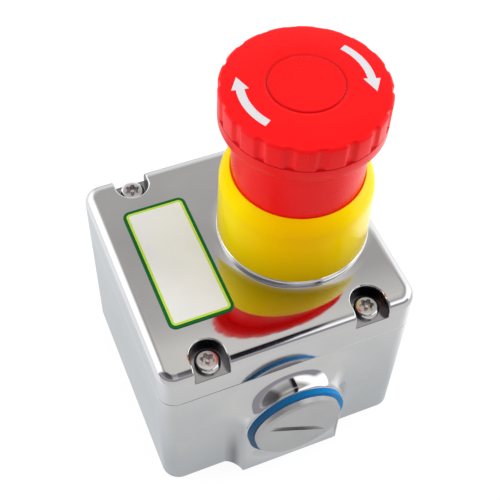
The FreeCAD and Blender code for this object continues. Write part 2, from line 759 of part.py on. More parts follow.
def button():
    """What moves with the button: head, centre cap, head screw, neck, stem and its clip."""
    mushroom_head()
    turned("head_cap", [
        ("0", "cap_bottom"),
        ("cap_outer / 2", "cap_bottom"),
        ("cap_outer / 2", "head_top - cap_edge", "cap_edge"),
        ("cap_outer / 2 - cap_edge", "head_top"),
        ("0", "head_top"),
    ], "button_x")
    turned("head_screw", screw_points("head_screw_shank", "head_screw_head", "head_screw_head_height",
                                      "head_screw_length", "head_seat"), "button_x")
    neck = span_points("neck_outer / 2 - neck_wall", "neck_bottom", "neck_outer / 2", "roof_bottom")
    turned("neck_sleeve", neck, "button_x")
    lobe_bottom = "pawl_bottom - 2 * pawl_height - travel"
    groove_bottom = "pusher_bottom + clip_rise"
    thread = "head_screw_shank / 2 + thread_fit"
    thread_end = "head_seat - head_screw_length - hole_tip"
    turned("stem", [
        ("0", "pusher_bottom + journal_rise"),
        ("stem_journal / 2", "pusher_bottom + journal_rise"),
        ("stem_journal / 2", groove_bottom),
        ("clip_groove / 2", groove_bottom),
        ("clip_groove / 2", f"{groove_bottom} + clip_height + touch_gap"),
        ("stem_journal / 2", f"{groove_bottom} + clip_height + touch_gap"),
        ("stem_journal / 2", "pusher_top"),
        ("stem_shaft / 2", "pusher_top"),
        ("stem_shaft / 2", lobe_bottom),
        ("stem_lobe / 2", lobe_bottom),
        ("stem_lobe / 2", "pawl_bottom"),
        ("stem_lobe / 2 - cone_length * latch_slope", "cone_top"),
        ("stem_shaft / 2", "cone_top + touch_gap"),
        ("stem_shaft / 2", "stem_top"),
        (thread, "stem_top"),
        (thread, thread_end),
        ("0", thread_end),
    ], "button_x")
    clip = span_points("clip_groove / 2 + slide_fit", f"{groove_bottom} + slide_fit", "clip_outer / 2",
                       f"{groove_bottom} + slide_fit + clip_height")
    turned("stem_clip", clip, "button_x")
    return ["mushroom_head", "head_cap", "head_screw", "neck_sleeve", "stem", "stem_clip"]


def contact_pusher():
    """Plate that carries the stem's push to the three plungers without turning with it."""
    body = new_body("contact_pusher", "button_x", z="pusher_bottom")
    plate = outline(sketch_on(body, "XY_Plane"), box_points("pusher_width / 2", "pusher_depth / 2"))
    pad(body, plate, "pusher_height")
    bore = circles(sketch_on(body, "XY_Plane"), "stem_journal / 2 + slide_fit", [("0", "0")])
    pocket(body, bore, "pusher_height", reverse=True)
    well = circles(sketch_on(body, "XY_Plane"), "clip_outer / 2 + shank_gap", [("0", "0")])
    pocket(body, well, "clip_rise + clip_height + clip_clear", reverse=True)
    return body


def latch():
    """Two spring-loaded pawls that ride the stem's cone, and the band that closes their channels."""
    inside = "tower / 2 + slide_fit"
    overhang = "(band_height - pawl_height) / 2"
    band = span_points(inside, f"pawl_bottom - {overhang}", f"{inside} + band_wall", f"pawl_top + {overhang}")
    turned("latch_band", band, "button_x")
    tip = "(stem_lobe / 2 + touch_gap)"
    back = f"({tip} + pawl_length)"
    room = f"({inside} - {back})"
    for side, name in ((1, "right"), (-1, "left")):
        pawl = new_body(f"latch_pawl_{name}", "button_x")
        points = [
            (f"{side} * {tip}", "pawl_bottom"),
            (f"{side} * {back}", "pawl_bottom"),
            (f"{side} * {back}", "pawl_top"),
            (f"{side} * ({tip} - pawl_height * latch_slope)", "pawl_top"),
        ]
        pad(pawl, outline(sketch_on(pawl, "XZ_Plane", "-pawl_width / 2"), points), "pawl_width")
        turn = FreeCAD.Rotation(FreeCAD.Vector(0, 1, 0), 90 * side)
        start = f"button_x + {side} * ({back} + latch_wire / 2 + touch_gap)"
        middle = "(pawl_bottom + pawl_top) / 2"
        coil(f"latch_spring_{name}", "latch_coil", "latch_wire", room, 3, start, "0", middle, turn)


def contact_holder():
    """Adapter on the barrel's end: a plate round the barrel with a window that guides the pusher."""
    body = new_body("contact_holder", "button_x", z="block_top")
    pad(body, outline(sketch_on(body, "XY_Plane"), box_points("holder_width / 2", "holder_depth / 2")),
        "holder_top - block_top")
    round_edges(body, "wall", upright)
    window = box_points("pusher_width / 2 + pusher_gap", "pusher_depth / 2 + pusher_gap")
    pocket(body, outline(sketch_on(body, "XY_Plane"), window), "barrel_end - block_top", reverse=True)
    bore = circles(sketch_on(body, "XY_Plane"), "barrel / 2 + slide_fit", [("0", "0")])
    pocket(body, bore, "holder_top - block_top", reverse=True)
    return body


def block_housing(name, x, strip):
    """Housing of one contact block: an open shell with a chamber, terminal bays and slots for the strips."""
    body = new_body(f"{name}_housing", x)
    shell = span_points("-block_length / 2", "block_bottom", "block_length / 2", "block_top")
    pad(body, outline(sketch_on(body, "YZ_Plane", "-block_width / 2"), shell), "block_width - block_cover")
    bay = "bay_start"
    end = "block_length / 2 + block_wall"
    slot_low = f"{strip} - terminal_play"
    slot_high = f"{strip} + strip_height + terminal_play"
    right = [
        ("chamber_length / 2", "chamber_bottom"),
        ("chamber_length / 2", slot_low),
        (bay, slot_low),
        (bay, "chamber_bottom"),
        (end, "chamber_bottom"),
        (end, "chamber_top"),
        (bay, "chamber_top"),
        (bay, slot_high),
        ("chamber_length / 2", slot_high),
        ("chamber_length / 2", "chamber_top"),
    ]
    points = right + [(f"-({y})", z) for y, z in right[::-1]]
    opening = sketch_on(body, "YZ_Plane", "block_width / 2 - block_cover")
    pocket(body, outline(opening, points), "block_width - block_cover - block_wall")
    guide = circles(sketch_on(body, "XY_Plane", "block_top"), "plunger_rod / 2 + shank_gap", [("0", "0")])
    pocket(body, guide, "block_roof")
    access = circles(sketch_on(body, "XY_Plane", "block_bottom"), "terminal_head / 2 + shank_gap",
                     [("0", "terminal_y"), ("0", "-terminal_y")])
    pocket(body, access, "block_base", reverse=True)
    return body


def strip_points(strip):
    """Side of a fixed contact: flat if it lies at the tab's height, else with a leg down to the tab."""
    low = strip
    high = f"{strip} + strip_height"
    if strip == "make_strip":
        return span_points("strip_inner", low, "tab_end", high)
    tab_top = "make_strip + strip_height"
    leg_end = "strip_leg + strip_height"
    inner = [("strip_inner", high), ("strip_inner", low), ("strip_leg", low), ("strip_leg", "make_strip")]
    return inner + [("tab_end", "make_strip"), ("tab_end", tab_top), (leg_end, tab_top), (leg_end, high)]


def contact_block(name, x, strip):
    """One contact block: housing, cover, plunger, bridge, spring, fixed contacts and terminal screws."""
    block_housing(name, x, strip)
    cover = doc.addObject("Part::Box", f"{name}_cover")
    cover.Label = f"{name}_cover"
    bind(place(cover, f"{x} + block_width / 2 - block_cover", "-block_length / 2", "block_bottom"),
         Length="block_cover", Width="block_length", Height="block_height")
    turned(f"{name}_plunger", [
        ("0", "bridge_bottom - plunger_spigot_length"),
        ("plunger_spigot / 2", "bridge_bottom - plunger_spigot_length"),
        ("plunger_spigot / 2", "bridge_top + contact_gap"),
        ("plunger_rod / 2", "bridge_top + contact_gap"),
        ("plunger_rod / 2", "plunger_top - plunger_head_height"),
        ("plunger_head / 2", "plunger_top - plunger_head_height"),
        ("plunger_head / 2", "plunger_top"),
        ("0", "plunger_top"),
    ], x)
    bridge = new_body(f"{name}_bridge", x, z="bridge_bottom")
    bar = outline(sketch_on(bridge, "XY_Plane"), box_points("bridge_width / 2", "bridge_length / 2"))
    pad(bridge, bar, "bridge_height")
    rivets = circles(sketch_on(bridge, "XY_Plane", "-rivet_height"), "rivet / 2",
                     [("0", "rivet_span / 2"), ("0", "-rivet_span / 2")])
    pad(bridge, rivets, "bridge_height + 2 * rivet_height")
    eye = sketch_on(bridge, "XY_Plane", "bridge_height")
    pocket(bridge, circles(eye, "plunger_spigot / 2 + slide_fit", [("0", "0")]), "bridge_height")
    coil(f"{name}_spring", "contact_coil", "contact_wire", "(bridge_bottom - chamber_bottom)", 5,
         x, "0", "chamber_bottom + contact_wire / 2 + touch_gap")
    rivet_foot = "make_strip + strip_height" if strip == "make_strip" else f"{strip} - rivet_height"
    strips = []
    screws = []
    for side, end in ((1, "back"), (-1, "front")):
        piece = new_body(f"{name}_strip_{end}", x)
        points = [(f"{side} * ({y})", z) for y, z in strip_points(strip)][::side]
        pad(piece, outline(sketch_on(piece, "YZ_Plane", "-bridge_width / 2"), points), "bridge_width")
        rivet = sketch_on(piece, "XY_Plane", rivet_foot)
        pad(piece, circles(rivet, "rivet / 2", [("0", f"{side} * rivet_span / 2")]), "rivet_height")
        hole = sketch_on(piece, "XY_Plane", "make_strip + strip_height")
        circles(hole, "terminal_shank / 2 + terminal_play", [("0", f"{side} * terminal_y")])
        pocket(piece, hole, "strip_height")
        strips.append(piece)
        screw = turned(f"{name}_screw_{end}", [
            ("0", "make_strip - terminal_head_height"),
            ("terminal_head / 2", "make_strip - terminal_head_height"),
            ("terminal_head / 2", "make_strip"),
            ("terminal_shank / 2", "make_strip"),
            ("terminal_shank / 2", "make_strip + terminal_length"),
            ("0", "make_strip + terminal_length"),
        ], x, f"{side} * terminal_y")
        screws.append(screw)
    group(f"{name}_fixed_contacts", strips)
    group(f"{name}_terminal_screws", screws)
    pieces = ("housing", "cover", "plunger", "bridge", "spring", "fixed_contacts", "terminal_screws")
    return [f"{name}_{piece}" for piece in pieces]


box_pieces = (base, gasket, lid, lid_screws, conduit_seal, conduit_plug)
nodes = [make_piece().Label for make_piece in box_pieces]
nodes += earth_terminal()
nodes += button_mount()
nodes += button()
nodes.append(contact_pusher().Label)
nodes.append(contact_holder().Label)
latch()
nodes += ["latch_band", "latch_pawl_right", "latch_pawl_left", "latch_spring_right", "latch_spring_left"]
coil("return_spring", "return_coil", "return_wire", "(roof_bottom - tower_top)", 6, "button_x", "0",
     "tower_top + return_wire / 2 + touch_gap")
nodes.append("return_spring")
BLOCKS = (
    ("break_contact_left", "button_x - block_pitch", "break_strip"),
    ("make_contact", "button_x", "make_strip"),
    ("break_contact_right", "button_x + block_pitch", "break_strip"),
)
for block in BLOCKS:
    nodes += contact_block(*block)

doc.recompute()
for thing in doc.Objects:
    if "Invalid" in thing.State or "Error" in thing.State:
        raise RuntimeError(f"{thing.Label} failed: {thing.State}")
shapes = {label: doc.getObjectsByLabel(label)[0].Shape for label in nodes}
for label, shape in shapes.items():
    if shape.isNull() or not shape.isValid() or not shape.Solids:
        raise RuntimeError(f"{label} has no valid solid")
os.makedirs("parts", exist_ok=True)
for label, shape in shapes.items():
    shape.exportStep(f"parts/{label}.step")
    print(label, len(shape.Solids), "solid(s),", round(shape.Volume), "mm3")
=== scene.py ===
# %% [markdown]
# An emergency stop switch, dressed for its picture. The imported model gives every piece at its real size and
# place, so this lesson adds only what the eye needs: light, finishes, and the small forms that a machinist's
# model leaves out. The dressed switch has to stay inside it.

# %% Load the imported switch
import bpy
import json
import math
from mathutils import Matrix, Vector


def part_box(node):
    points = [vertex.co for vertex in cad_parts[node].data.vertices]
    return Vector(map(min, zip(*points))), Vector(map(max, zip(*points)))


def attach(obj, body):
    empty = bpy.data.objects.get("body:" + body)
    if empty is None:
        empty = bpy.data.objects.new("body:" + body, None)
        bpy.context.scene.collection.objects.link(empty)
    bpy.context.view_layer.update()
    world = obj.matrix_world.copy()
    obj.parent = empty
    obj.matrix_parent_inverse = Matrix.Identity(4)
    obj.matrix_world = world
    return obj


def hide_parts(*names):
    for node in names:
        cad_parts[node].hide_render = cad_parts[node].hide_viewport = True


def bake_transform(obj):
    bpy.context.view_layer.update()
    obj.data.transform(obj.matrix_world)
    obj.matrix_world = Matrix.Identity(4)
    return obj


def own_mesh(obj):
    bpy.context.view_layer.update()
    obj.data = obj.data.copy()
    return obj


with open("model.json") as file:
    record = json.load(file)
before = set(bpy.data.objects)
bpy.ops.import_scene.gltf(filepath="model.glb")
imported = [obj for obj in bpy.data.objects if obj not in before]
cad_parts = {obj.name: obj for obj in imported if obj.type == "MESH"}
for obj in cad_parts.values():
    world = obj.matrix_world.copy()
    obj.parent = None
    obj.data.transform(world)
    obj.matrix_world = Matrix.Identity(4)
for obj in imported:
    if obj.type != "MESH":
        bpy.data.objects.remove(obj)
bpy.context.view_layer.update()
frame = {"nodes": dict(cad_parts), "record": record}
nodes = frame["nodes"]
MM = 0.001
RIGHT, BACK, UP = (1.0, 0.0, 0.0), (0.0, 1.0, 0.0), (0.0, 0.0, 1.0)
print("pieces in the packed switch:", len(nodes))


def in_mm(length):
    """A length in millimetres, rounded for printing."""
    return round(length / MM, 2)


def leave_edit_mode():
    if bpy.context.object and bpy.context.object.mode == "EDIT":
        bpy.ops.object.mode_set(mode="OBJECT")


def deselect_all():
    """Leave nothing selected, so that the next operator acts only on what we choose."""
    leave_edit_mode()
    bpy.ops.object.select_all(action="DESELECT")


deselect_all()

# %% [markdown]
# The camera looks down on the switch from the front left. Its place, tilt, roll and focal length were found
# by matching the box's corners and the round edges of the button with the same points in the picture. An
# azimuth, an elevation and a roll are easier to read than a matrix, so the matrix is built from those three
# turns.

# %% Camera
PICTURE_SIDE = 500
FOCAL_PIXELS = 1022.21
CAMERA_PLACE = Vector((-65.68, -145.31, 270.46)) * MM
CAMERA_AZIMUTH = math.radians(-24.79)
CAMERA_ELEVATION = math.radians(53.93)
CAMERA_ROLL = math.radians(2.92)

bpy.ops.object.camera_add()
camera = bpy.context.object
camera.name = "camera"
camera.data.sensor_width = 36.0
camera.data.lens = camera.data.sensor_width * FOCAL_PIXELS / PICTURE_SIDE
camera.data.clip_start = 0.01
turn = (
    Matrix.Rotation(CAMERA_AZIMUTH, 4, "Z")
    @ Matrix.Rotation(math.pi / 2 - CAMERA_ELEVATION, 4, "X")
    @ Matrix.Rotation(CAMERA_ROLL, 4, "Z")
)
camera.matrix_world = Matrix.Translation(CAMERA_PLACE) @ turn
bpy.context.scene.camera = camera
print("lens", round(camera.data.lens, 2), "mm")

# %% [markdown]
# Shader maths reads best as plain sums. The first class wraps one output socket, and each operator on it
# adds a Math node, so a mask can be written as 1 - edge * 0.5. The second is the board on which nodes are
# wired: one method adds any node from its type, its settings, and what goes into its sockets, and the rest
# are short names for the nodes that we reach for most.

# %% Words for wiring nodes


class Flow:
    """A value on its way through a board of nodes."""

    def __init__(self, board, socket):
        self.board = board
        self.socket = socket

    def math(self, operation, first, second):
        return self.board.node("Math", {"operation": operation}, {0: first, 1: second})

    def __add__(self, other):
        return self.math("ADD", self, other)

    def __sub__(self, other):
        return self.math("SUBTRACT", self, other)

    def __rsub__(self, other):
        return self.math("SUBTRACT", other, self)

    def __mul__(self, other):
        return self.math("MULTIPLY", self, other)

    def __abs__(self):
        return self.math("ABSOLUTE", self, 0.0)

    __radd__ = __add__
    __rmul__ = __mul__


class Board:
    """A node tree, and words for adding nodes to it."""

    def __init__(self, tree):
        self.tree = tree

    def node(self, kind, settings, sockets, output=0):
        made = self.tree.nodes.new("ShaderNode" + kind)
        for name, value in settings.items():
            setattr(made, name, value)
        for key, value in sockets.items():
            if isinstance(value, Flow):
                self.tree.links.new(value.socket, made.inputs[key])
            else:
                made.inputs[key].default_value = value
        return Flow(self, made.outputs[output])

    def ramp(self, flow, low, high, to_low=0.0, to_high=1.0):
        """Stretch a flow from one span of values to another, and hold it at the ends."""
        return self.node("MapRange", {}, {0: flow, 1: low, 2: high, 3: to_low, 4: to_high})

    def fade(self, flow, low, high):
        """One up to the first value, and nothing past the second."""
        return self.ramp(flow, low, high, 1.0, 0.0)

    def mix(self, factor, first, second):
        """Blend two colours."""
        return self.node("Mix", {"data_type": "RGBA"}, {0: factor, 6: first, 7: second}, 2)

    def along(self, way, direction):
        """How far a direction points along another."""
        return self.node("VectorMath", {"operation": "DOT_PRODUCT"}, {0: way, 1: direction}, "Value")

    def send_out(self, kind, surface):
        """Send a shader to the board's output."""
        out = self.tree.nodes.new("ShaderNodeOutput" + kind)
        self.tree.links.new(surface.socket, out.inputs["Surface"])


def grey(level):
    return (level, level, level, 1.0)


print("wiring words ready")

# %% [markdown]
# Product pictures like this one are lit in a white tent. The world is that tent. The camera sees it as plain
# white, and matt surfaces take an even share of light from it, less from its open front. Polished steel
# needs more: its look comes from what it mirrors, so for mirrored rays the tent has bright walls with
# brighter boxes at the sides, a duller roof with a bright top, and a dark opening at the front, where the
# camera stands. Below the opening the cloth is in dusk, and on the right the opening's lower edge is raised.
# Without that dark opening, steel turns into white plastic.

# %% White tent: walls and roof
AWAY = Vector((0.42, 0.91, 0.0))
ACROSS = Vector((0.91, -0.42, 0.0))
WALLS, ROOF, TOP = grey(1.25), (0.56, 0.545, 0.52, 1.0), (1.0, 0.97, 0.93, 1.0)
SIDE_BOXES = grey(2.0)

world = bpy.data.worlds.new("white_tent")
bpy.context.scene.world = world
bpy.context.scene.view_settings.view_transform = "Standard"
world.use_nodes = True
world.node_tree.nodes.clear()
tent = Board(world.node_tree)

way = tent.node("TexCoord", {}, {}, "Generated")
sideways, rise = [tent.along(way, axis) for axis in (RIGHT, UP)]
front = tent.along(way, -AWAY)
side = abs(tent.along(way, ACROSS))
cloth = tent.mix(tent.ramp(rise, 0.45, 0.83), WALLS, ROOF)
cloth = tent.mix(tent.ramp(rise, 0.80, 0.93), cloth, TOP)
cloth = tent.mix(tent.ramp(side, 0.46, 0.66) * tent.fade(rise, 0.60, 0.78), cloth, SIDE_BOXES)
print("tent: walls at", WALLS[0], "and side boxes at", SIDE_BOXES[0])

# %% White tent: dark opening
DUSK = (0.46, 0.43, 0.48, 1.0)
OPENING = (0.016, 0.012, 0.022, 1.0)
LOWER_EDGE, UPPER_EDGE = (0.28, 0.42), (0.88, 0.95)
EVEN_SHARE, FRONT_SHARE = grey(0.66), grey(0.38)

to_front = tent.ramp(front, 0.10, 0.28)
cloth = tent.mix(to_front * tent.fade(rise, *LOWER_EDGE), cloth, DUSK)
in_opening = tent.ramp(sideways, 0.10, 0.18, 0.35, 1.0) * tent.ramp(sideways, 0.28, 0.36, 1.0, 0.12)
in_opening = in_opening + tent.ramp(sideways, -0.40, -0.25, 0.50, 0.0)
sill = tent.ramp(sideways, 0.245, 0.31, 0.0, 0.55)
dark = to_front * in_opening * tent.ramp(rise - sill, *LOWER_EDGE) * tent.fade(rise, *UPPER_EDGE)
mirrored = tent.mix(dark, cloth, OPENING)
is_camera = tent.node("LightPath", {}, {}, "Is Camera Ray")
is_glossy = tent.node("LightPath", {}, {}, "Is Glossy Ray")
even = tent.mix(tent.ramp(front, 0.2, 0.8), EVEN_SHARE, FRONT_SHARE)
shown = tent.mix(is_camera, tent.mix(is_glossy, even, mirrored), grey(1.0))
tent.send_out("World", tent.node("Background", {}, {"Color": shown}))
print("tent opening: rise", LOWER_EDGE[0], "to", UPPER_EDGE[1])

# %% [markdown]
# Two lamps at the sides, one overhead and a weak one in front give the soft shape of the button and the
# faint shadow on the floor. They are wide, so that no shadow has a hard edge, and weak, because the tent
# already gives most of the light: together they light a matt surface at about the level at which its colour
# is written. Mirrored rays pass them by, because the tent's own bright walls are what the steel should show.

# %% Lamps
LAMPS = {
    "lamp_left": ((-0.75, 0.05, 0.50), 2.8),
    "lamp_right": ((0.72, -0.10, 0.42), 3.9),
    "lamp_over": ((-0.05, 0.15, 0.95), 1.3),
    "lamp_front": ((-0.35, -0.80, 0.50), 0.25),
}
AIM, LAMP_SIZE = Vector((0.0, 0.0, 0.06)), 0.6
for name, (place, power) in LAMPS.items():
    bpy.ops.object.light_add(type="AREA", location=place)
    lamp = bpy.context.object
    lamp.name = name
    lamp.data.size = LAMP_SIZE
    lamp.data.energy = power
    lamp.rotation_euler = (AIM - Vector(place)).to_track_quat("-Z", "Y").to_euler()
    lamp.visible_glossy = False
    deselect_all()
print("lamps:", len(LAMPS))

# %% [markdown]
# The floor is a plain pale sweep. To the camera it glows at nearly white, with just enough matt colour on
# top to carry the switch's soft shadow. Mirrored rays see the same floor with a painted shadow close to the
# box, painted lamplight out to its sides, and a warmer grey in front, which is how the walls of the box show
# it. To all other light it is an ordinary pale floor.

# %% Floor
FLOOR_SHADOW, FLOOR_LIT = (0.60, 0.625, 0.64, 1.0), (1.20, 1.22, 1.24, 1.0)
FLOOR_RIGHT, FLOOR_FRONT = grey(1.25), (0.82, 0.815, 0.80, 1.0)
bpy.ops.mesh.primitive_plane_add(size=6.0)
floor = bpy.context.object
floor.name = "floor"
pale = bpy.data.materials.new("pale_floor")
pale.use_nodes = True
pale.node_tree.nodes.clear()
sweep = Board(pale.node_tree)
by_camera = sweep.node("LightPath", {}, {}, "Is Camera Ray")
by_mirror = sweep.node("LightPath", {}, {}, "Is Glossy Ray")
where = sweep.node("TexCoord", {}, {}, "Object")
sideways = sweep.along(where, RIGHT)
# Painted shadow and light in the floor's mirrored glow: duller close to the box, brighter out to its sides.
below = sweep.mix(sweep.fade(sideways, -80.0 * MM, -38.0 * MM), FLOOR_SHADOW, FLOOR_LIT)
below = sweep.mix(sweep.ramp(sideways, 40.0 * MM, 70.0 * MM), below, FLOOR_RIGHT)
in_front = sweep.fade(sweep.along(where, BACK), -60.0 * MM, -34.0 * MM)
below = sweep.mix(in_front, below, FLOOR_FRONT)
glow = sweep.node("Emission", {}, {"Color": sweep.mix(by_camera, below, grey(0.90))})
shade = sweep.node("BsdfDiffuse", {}, {"Color": grey(0.13)})
seen = sweep.node("AddShader", {}, {0: glow, 1: shade})
plain = sweep.node("BsdfDiffuse", {}, {"Color": grey(0.80)})
sweep.send_out("Material", sweep.node("MixShader", {}, {0: by_camera + by_mirror, 1: plain, 2: seen}))
floor.data.materials.append(pale)
deselect_all()
print("floor ready")

# %% [markdown]
# A finish is a Principled shader with its own board. Every finish reads Object coordinates, which are metres
# in the switch's own frame, so a noise of scale 1000 has grains about a millimetre wide on every piece.

# %% Words for a finish


class Finish(Board):
    """One material, built up node by node around a Principled shader."""

    def __init__(self, name, **constants):
        self.material = bpy.data.materials.new(name)
        self.material.use_nodes = True
        super().__init__(self.material.node_tree)
        self.shader = self.tree.nodes["Principled BSDF"]
        for socket, value in constants.items():
            self.shader.inputs[socket.replace("_", " ")].default_value = value
        self.place = self.node("TexCoord", {}, {}, "Object")

    def feed(self, **flows):
        """Send flows to the shader's own sockets."""
        for socket, flow in flows.items():
            self.tree.links.new(flow.socket, self.shader.inputs[socket.replace("_", " ")])

    def noise(self, scale, detail=3.0, stretch=(1.0, 1.0, 1.0)):
        where = self.node("Mapping", {}, {"Vector": self.place, "Scale": stretch})
        return self.node("TexNoise", {}, {"Vector": where, "Scale": scale, "Detail": detail})

    def bump(self, height, depth, facing=None):
        sockets = {"Height": height, "Distance": depth}
        if facing:
            sockets["Normal"] = facing
        return self.node("Bump", {}, sockets)

    def length(self, way):
        return self.node("VectorMath", {"operation": "LENGTH"}, {0: way}, "Value")

    def lean(self, way, amount):
        """A small vector along a direction, as long as the amount."""
        unit = self.node("VectorMath", {"operation": "NORMALIZE"}, {0: way})
        return self.node("VectorMath", {"operation": "SCALE"}, {0: unit, "Scale": amount})

    def leaned(self, facing, leans):
        """The way a surface faces after small vectors are added to it."""
        for lean in leans:
            facing = self.node("VectorMath", {"operation": "ADD"}, {0: facing, 1: lean})
        return self.node("VectorMath", {"operation": "NORMALIZE"}, {0: facing})


finishes = {}
TINY = 0.01 * MM
print("finish words ready")

# %% [markdown]
# The box and lid are cast stainless steel, polished to a mirror. A real polished casting is never quite
# flat: the buffing wheel leaves slow waves that make reflections swim, and a haze that comes and goes. The
# wheel also rolls the lid over towards its front edge and round the button's ring, sweeps the base's wall
# into the boss, and rounds the boss's corner. Those forms are a fraction of a millimetre deep, too little
# for the outline but plain in a mirror, so they are made by leaning the surface's normal: a small vector is
# added to it where the form lies. The screw pockets are duller, and shade is painted into their colour as
# near-black. A grey painted shade darkens the left root of the boss.

# %% Where the lid leans
LEAN_START, LEAN_END, LID_LEAN = -13.0 * MM, -30.0 * MM, 0.17
BUTTON_X = 13.25 * MM
RING_START, RING_END, RING_LEAN = 20.1 * MM, 22.2 * MM, 0.22

steel = Finish("mirror_steel", Metallic=1.0)
facing = steel.node("NewGeometry", {}, {}, "Normal")
face_y, face_z = [steel.along(facing, axis) for axis in (BACK, UP)]
x, y, z = [steel.along(steel.place, axis) for axis in (RIGHT, BACK, UP)]
on_lid = steel.ramp(face_z, 0.92, 0.995)
roll = steel.ramp(y, LEAN_START, LEAN_END)
lid_roll = roll * roll * on_lid * LID_LEAN
from_button = steel.node("CombineXYZ", {}, {0: x - BUTTON_X, 1: y})
ring_roll = steel.ramp(steel.length(from_button), RING_START, RING_END, RING_LEAN, 0.0) * on_lid
print("lid leans from", in_mm(LEAN_START), "to", in_mm(LEAN_END), "mm")

# %% Where the wall and the boss lean
BOSS_HEIGHT, SEAM = 22.5 * MM, 43.0 * MM
WALL_PLACE, FACE_PLACE = -32.5 * MM, -37.0 * MM
BOSS_EDGE, CORNER_ROUND = 14.45 * MM, 1.3 * MM
DRAFT_LEAN, CORNER_LEAN, SWEEP_LEAN = 0.2, 0.7, 0.30

to_front = steel.fade(face_y, -0.98, -0.90)
draft = steel.ramp(y, WALL_PLACE - 1.0 * MM, WALL_PLACE - 0.2 * MM, DRAFT_LEAN, 0.0)
corner = steel.ramp(y, FACE_PLACE, FACE_PLACE + CORNER_ROUND, CORNER_LEAN, 0.0)
boss_draft = (draft + corner) * steel.ramp(face_y, -0.4, -0.1)
from_boss = steel.node("CombineXYZ", {}, {0: x, 2: z - BOSS_HEIGHT})
on_wall = to_front * steel.fade(z, SEAM - TINY, SEAM + TINY)
sweep_in = on_wall * steel.ramp(steel.length(from_boss), 18.0 * MM, 25.0 * MM, SWEEP_LEAN, 0.0)
above = steel.node("Math", {"operation": "MAXIMUM"}, {0: z - BOSS_HEIGHT, 1: 0.0})
from_arch = steel.node("CombineXYZ", {}, {0: x, 2: above})
arch_reach = steel.length(from_arch)
on_boss = to_front * steel.ramp(y, FACE_PLACE + 2 * TINY, FACE_PLACE + TINY)
face_round = steel.ramp(arch_reach, BOSS_EDGE - CORNER_ROUND, BOSS_EDGE, 0.0, CORNER_LEAN) * on_boss
leans = [steel.node("CombineXYZ", {}, {1: 0.0 - lid_roll - boss_draft})]
for centre, amount in ((from_button, ring_roll), (from_boss, sweep_in), (from_arch, face_round)):
    leans.append(steel.lean(centre, amount))
leaning = steel.leaned(facing, leans)
print("forms made by leaning:", len(leans))

# %% Where the casting gets painted shade, and where it is dull
ROOT_START, ROOT_END = (14.7 * MM, 15.8 * MM), (16.2 * MM, 18.4 * MM)
ROOT_LEFT, ROOT_RISE = (-14.0 * MM, -12.0 * MM), (8.0 * MM, 21.0 * MM)
POCKET_X, POCKET_Y, POCKET_EDGE = 21.65 * MM, 28.5 * MM, (4.50 * MM, 4.70 * MM)
POCKET_FLOOR, POCKET_RIM = (50.6 * MM, 50.8 * MM), (55.3 * MM, 55.6 * MM)

in_root = steel.ramp(arch_reach, *ROOT_START) * steel.fade(arch_reach, *ROOT_END)
in_root = in_root * steel.fade(x, *ROOT_LEFT) * steel.fade(z, *ROOT_RISE)
in_root = in_root * steel.fade(y, WALL_PLACE, WALL_PLACE + 2 * TINY)
inward = steel.node("Math", {"operation": "MINIMUM"}, {0: abs(y) - POCKET_Y, 1: 0.0})
from_pocket = steel.node("CombineXYZ", {}, {0: abs(x) - POCKET_X, 1: inward})
in_pocket = steel.fade(steel.length(from_pocket), *POCKET_EDGE) * steel.fade(z, *POCKET_RIM)
in_pocket = in_pocket * steel.ramp(z, *POCKET_FLOOR) * steel.ramp(face_z, 0.7, 0.95, 1.0, 0.45)
print("pockets at", in_mm(POCKET_X), "and", in_mm(POCKET_Y), "mm from the middle")

# %% Polished steel
BUFFED_DARK, BUFFED_LIGHT = (0.51, 0.51, 0.52, 1.0), (0.55, 0.55, 0.555, 1.0)
ROOT_SHADE, POCKET_SHADE = (0.25, 0.25, 0.26, 1.0), (0.045, 0.038, 0.052, 1.0)
cloud = steel.noise(70.0, 4.0)
wave = steel.noise(95.0, 1.0)
grain = steel.noise(900.0, 4.0, (1.0, 0.18, 1.0))
buffed = steel.mix(steel.ramp(cloud, 0.3, 0.7), BUFFED_DARK, BUFFED_LIGHT)
# Painted shade: the left root of the boss is painted a darker grey.
buffed = steel.mix(in_root, buffed, ROOT_SHADE)
# Painted shade: the screw pockets are painted near-black, and their roughness is raised.
steel.feed(
    Base_Color=steel.mix(in_pocket, buffed, POCKET_SHADE),
    Roughness=steel.ramp(cloud + grain * 0.4, 0.4, 1.0, 0.035, 0.10) + in_pocket * 0.2,
    Normal=steel.bump(wave + grain * 0.03, 0.03 * MM, leaning),
)
finishes["polished_steel"] = steel
print("steel for", [name for name, node in nodes.items() if node.data.materials[0].name == "polished_steel"])

# %% [markdown]
# The conduit plug is turned from the same steel but left satin, with faint turning marks round its own axis.
# The plug's axis runs front to back, so the marks are rings: a noise that depends on the distance from that
# axis. Its rim is broken round, which is again a lean of the normal. The screws and other turned pieces are
# brighter, and the springs are drawn wire, duller and greyer.

# %% Turned steel
PLUG_RIM, PLUG_LEAN = (11.2 * MM, 11.6 * MM), 0.9
SATIN_DARK, SATIN_LIGHT = (0.41, 0.41, 0.415, 1.0), (0.46, 0.46, 0.465, 1.0)

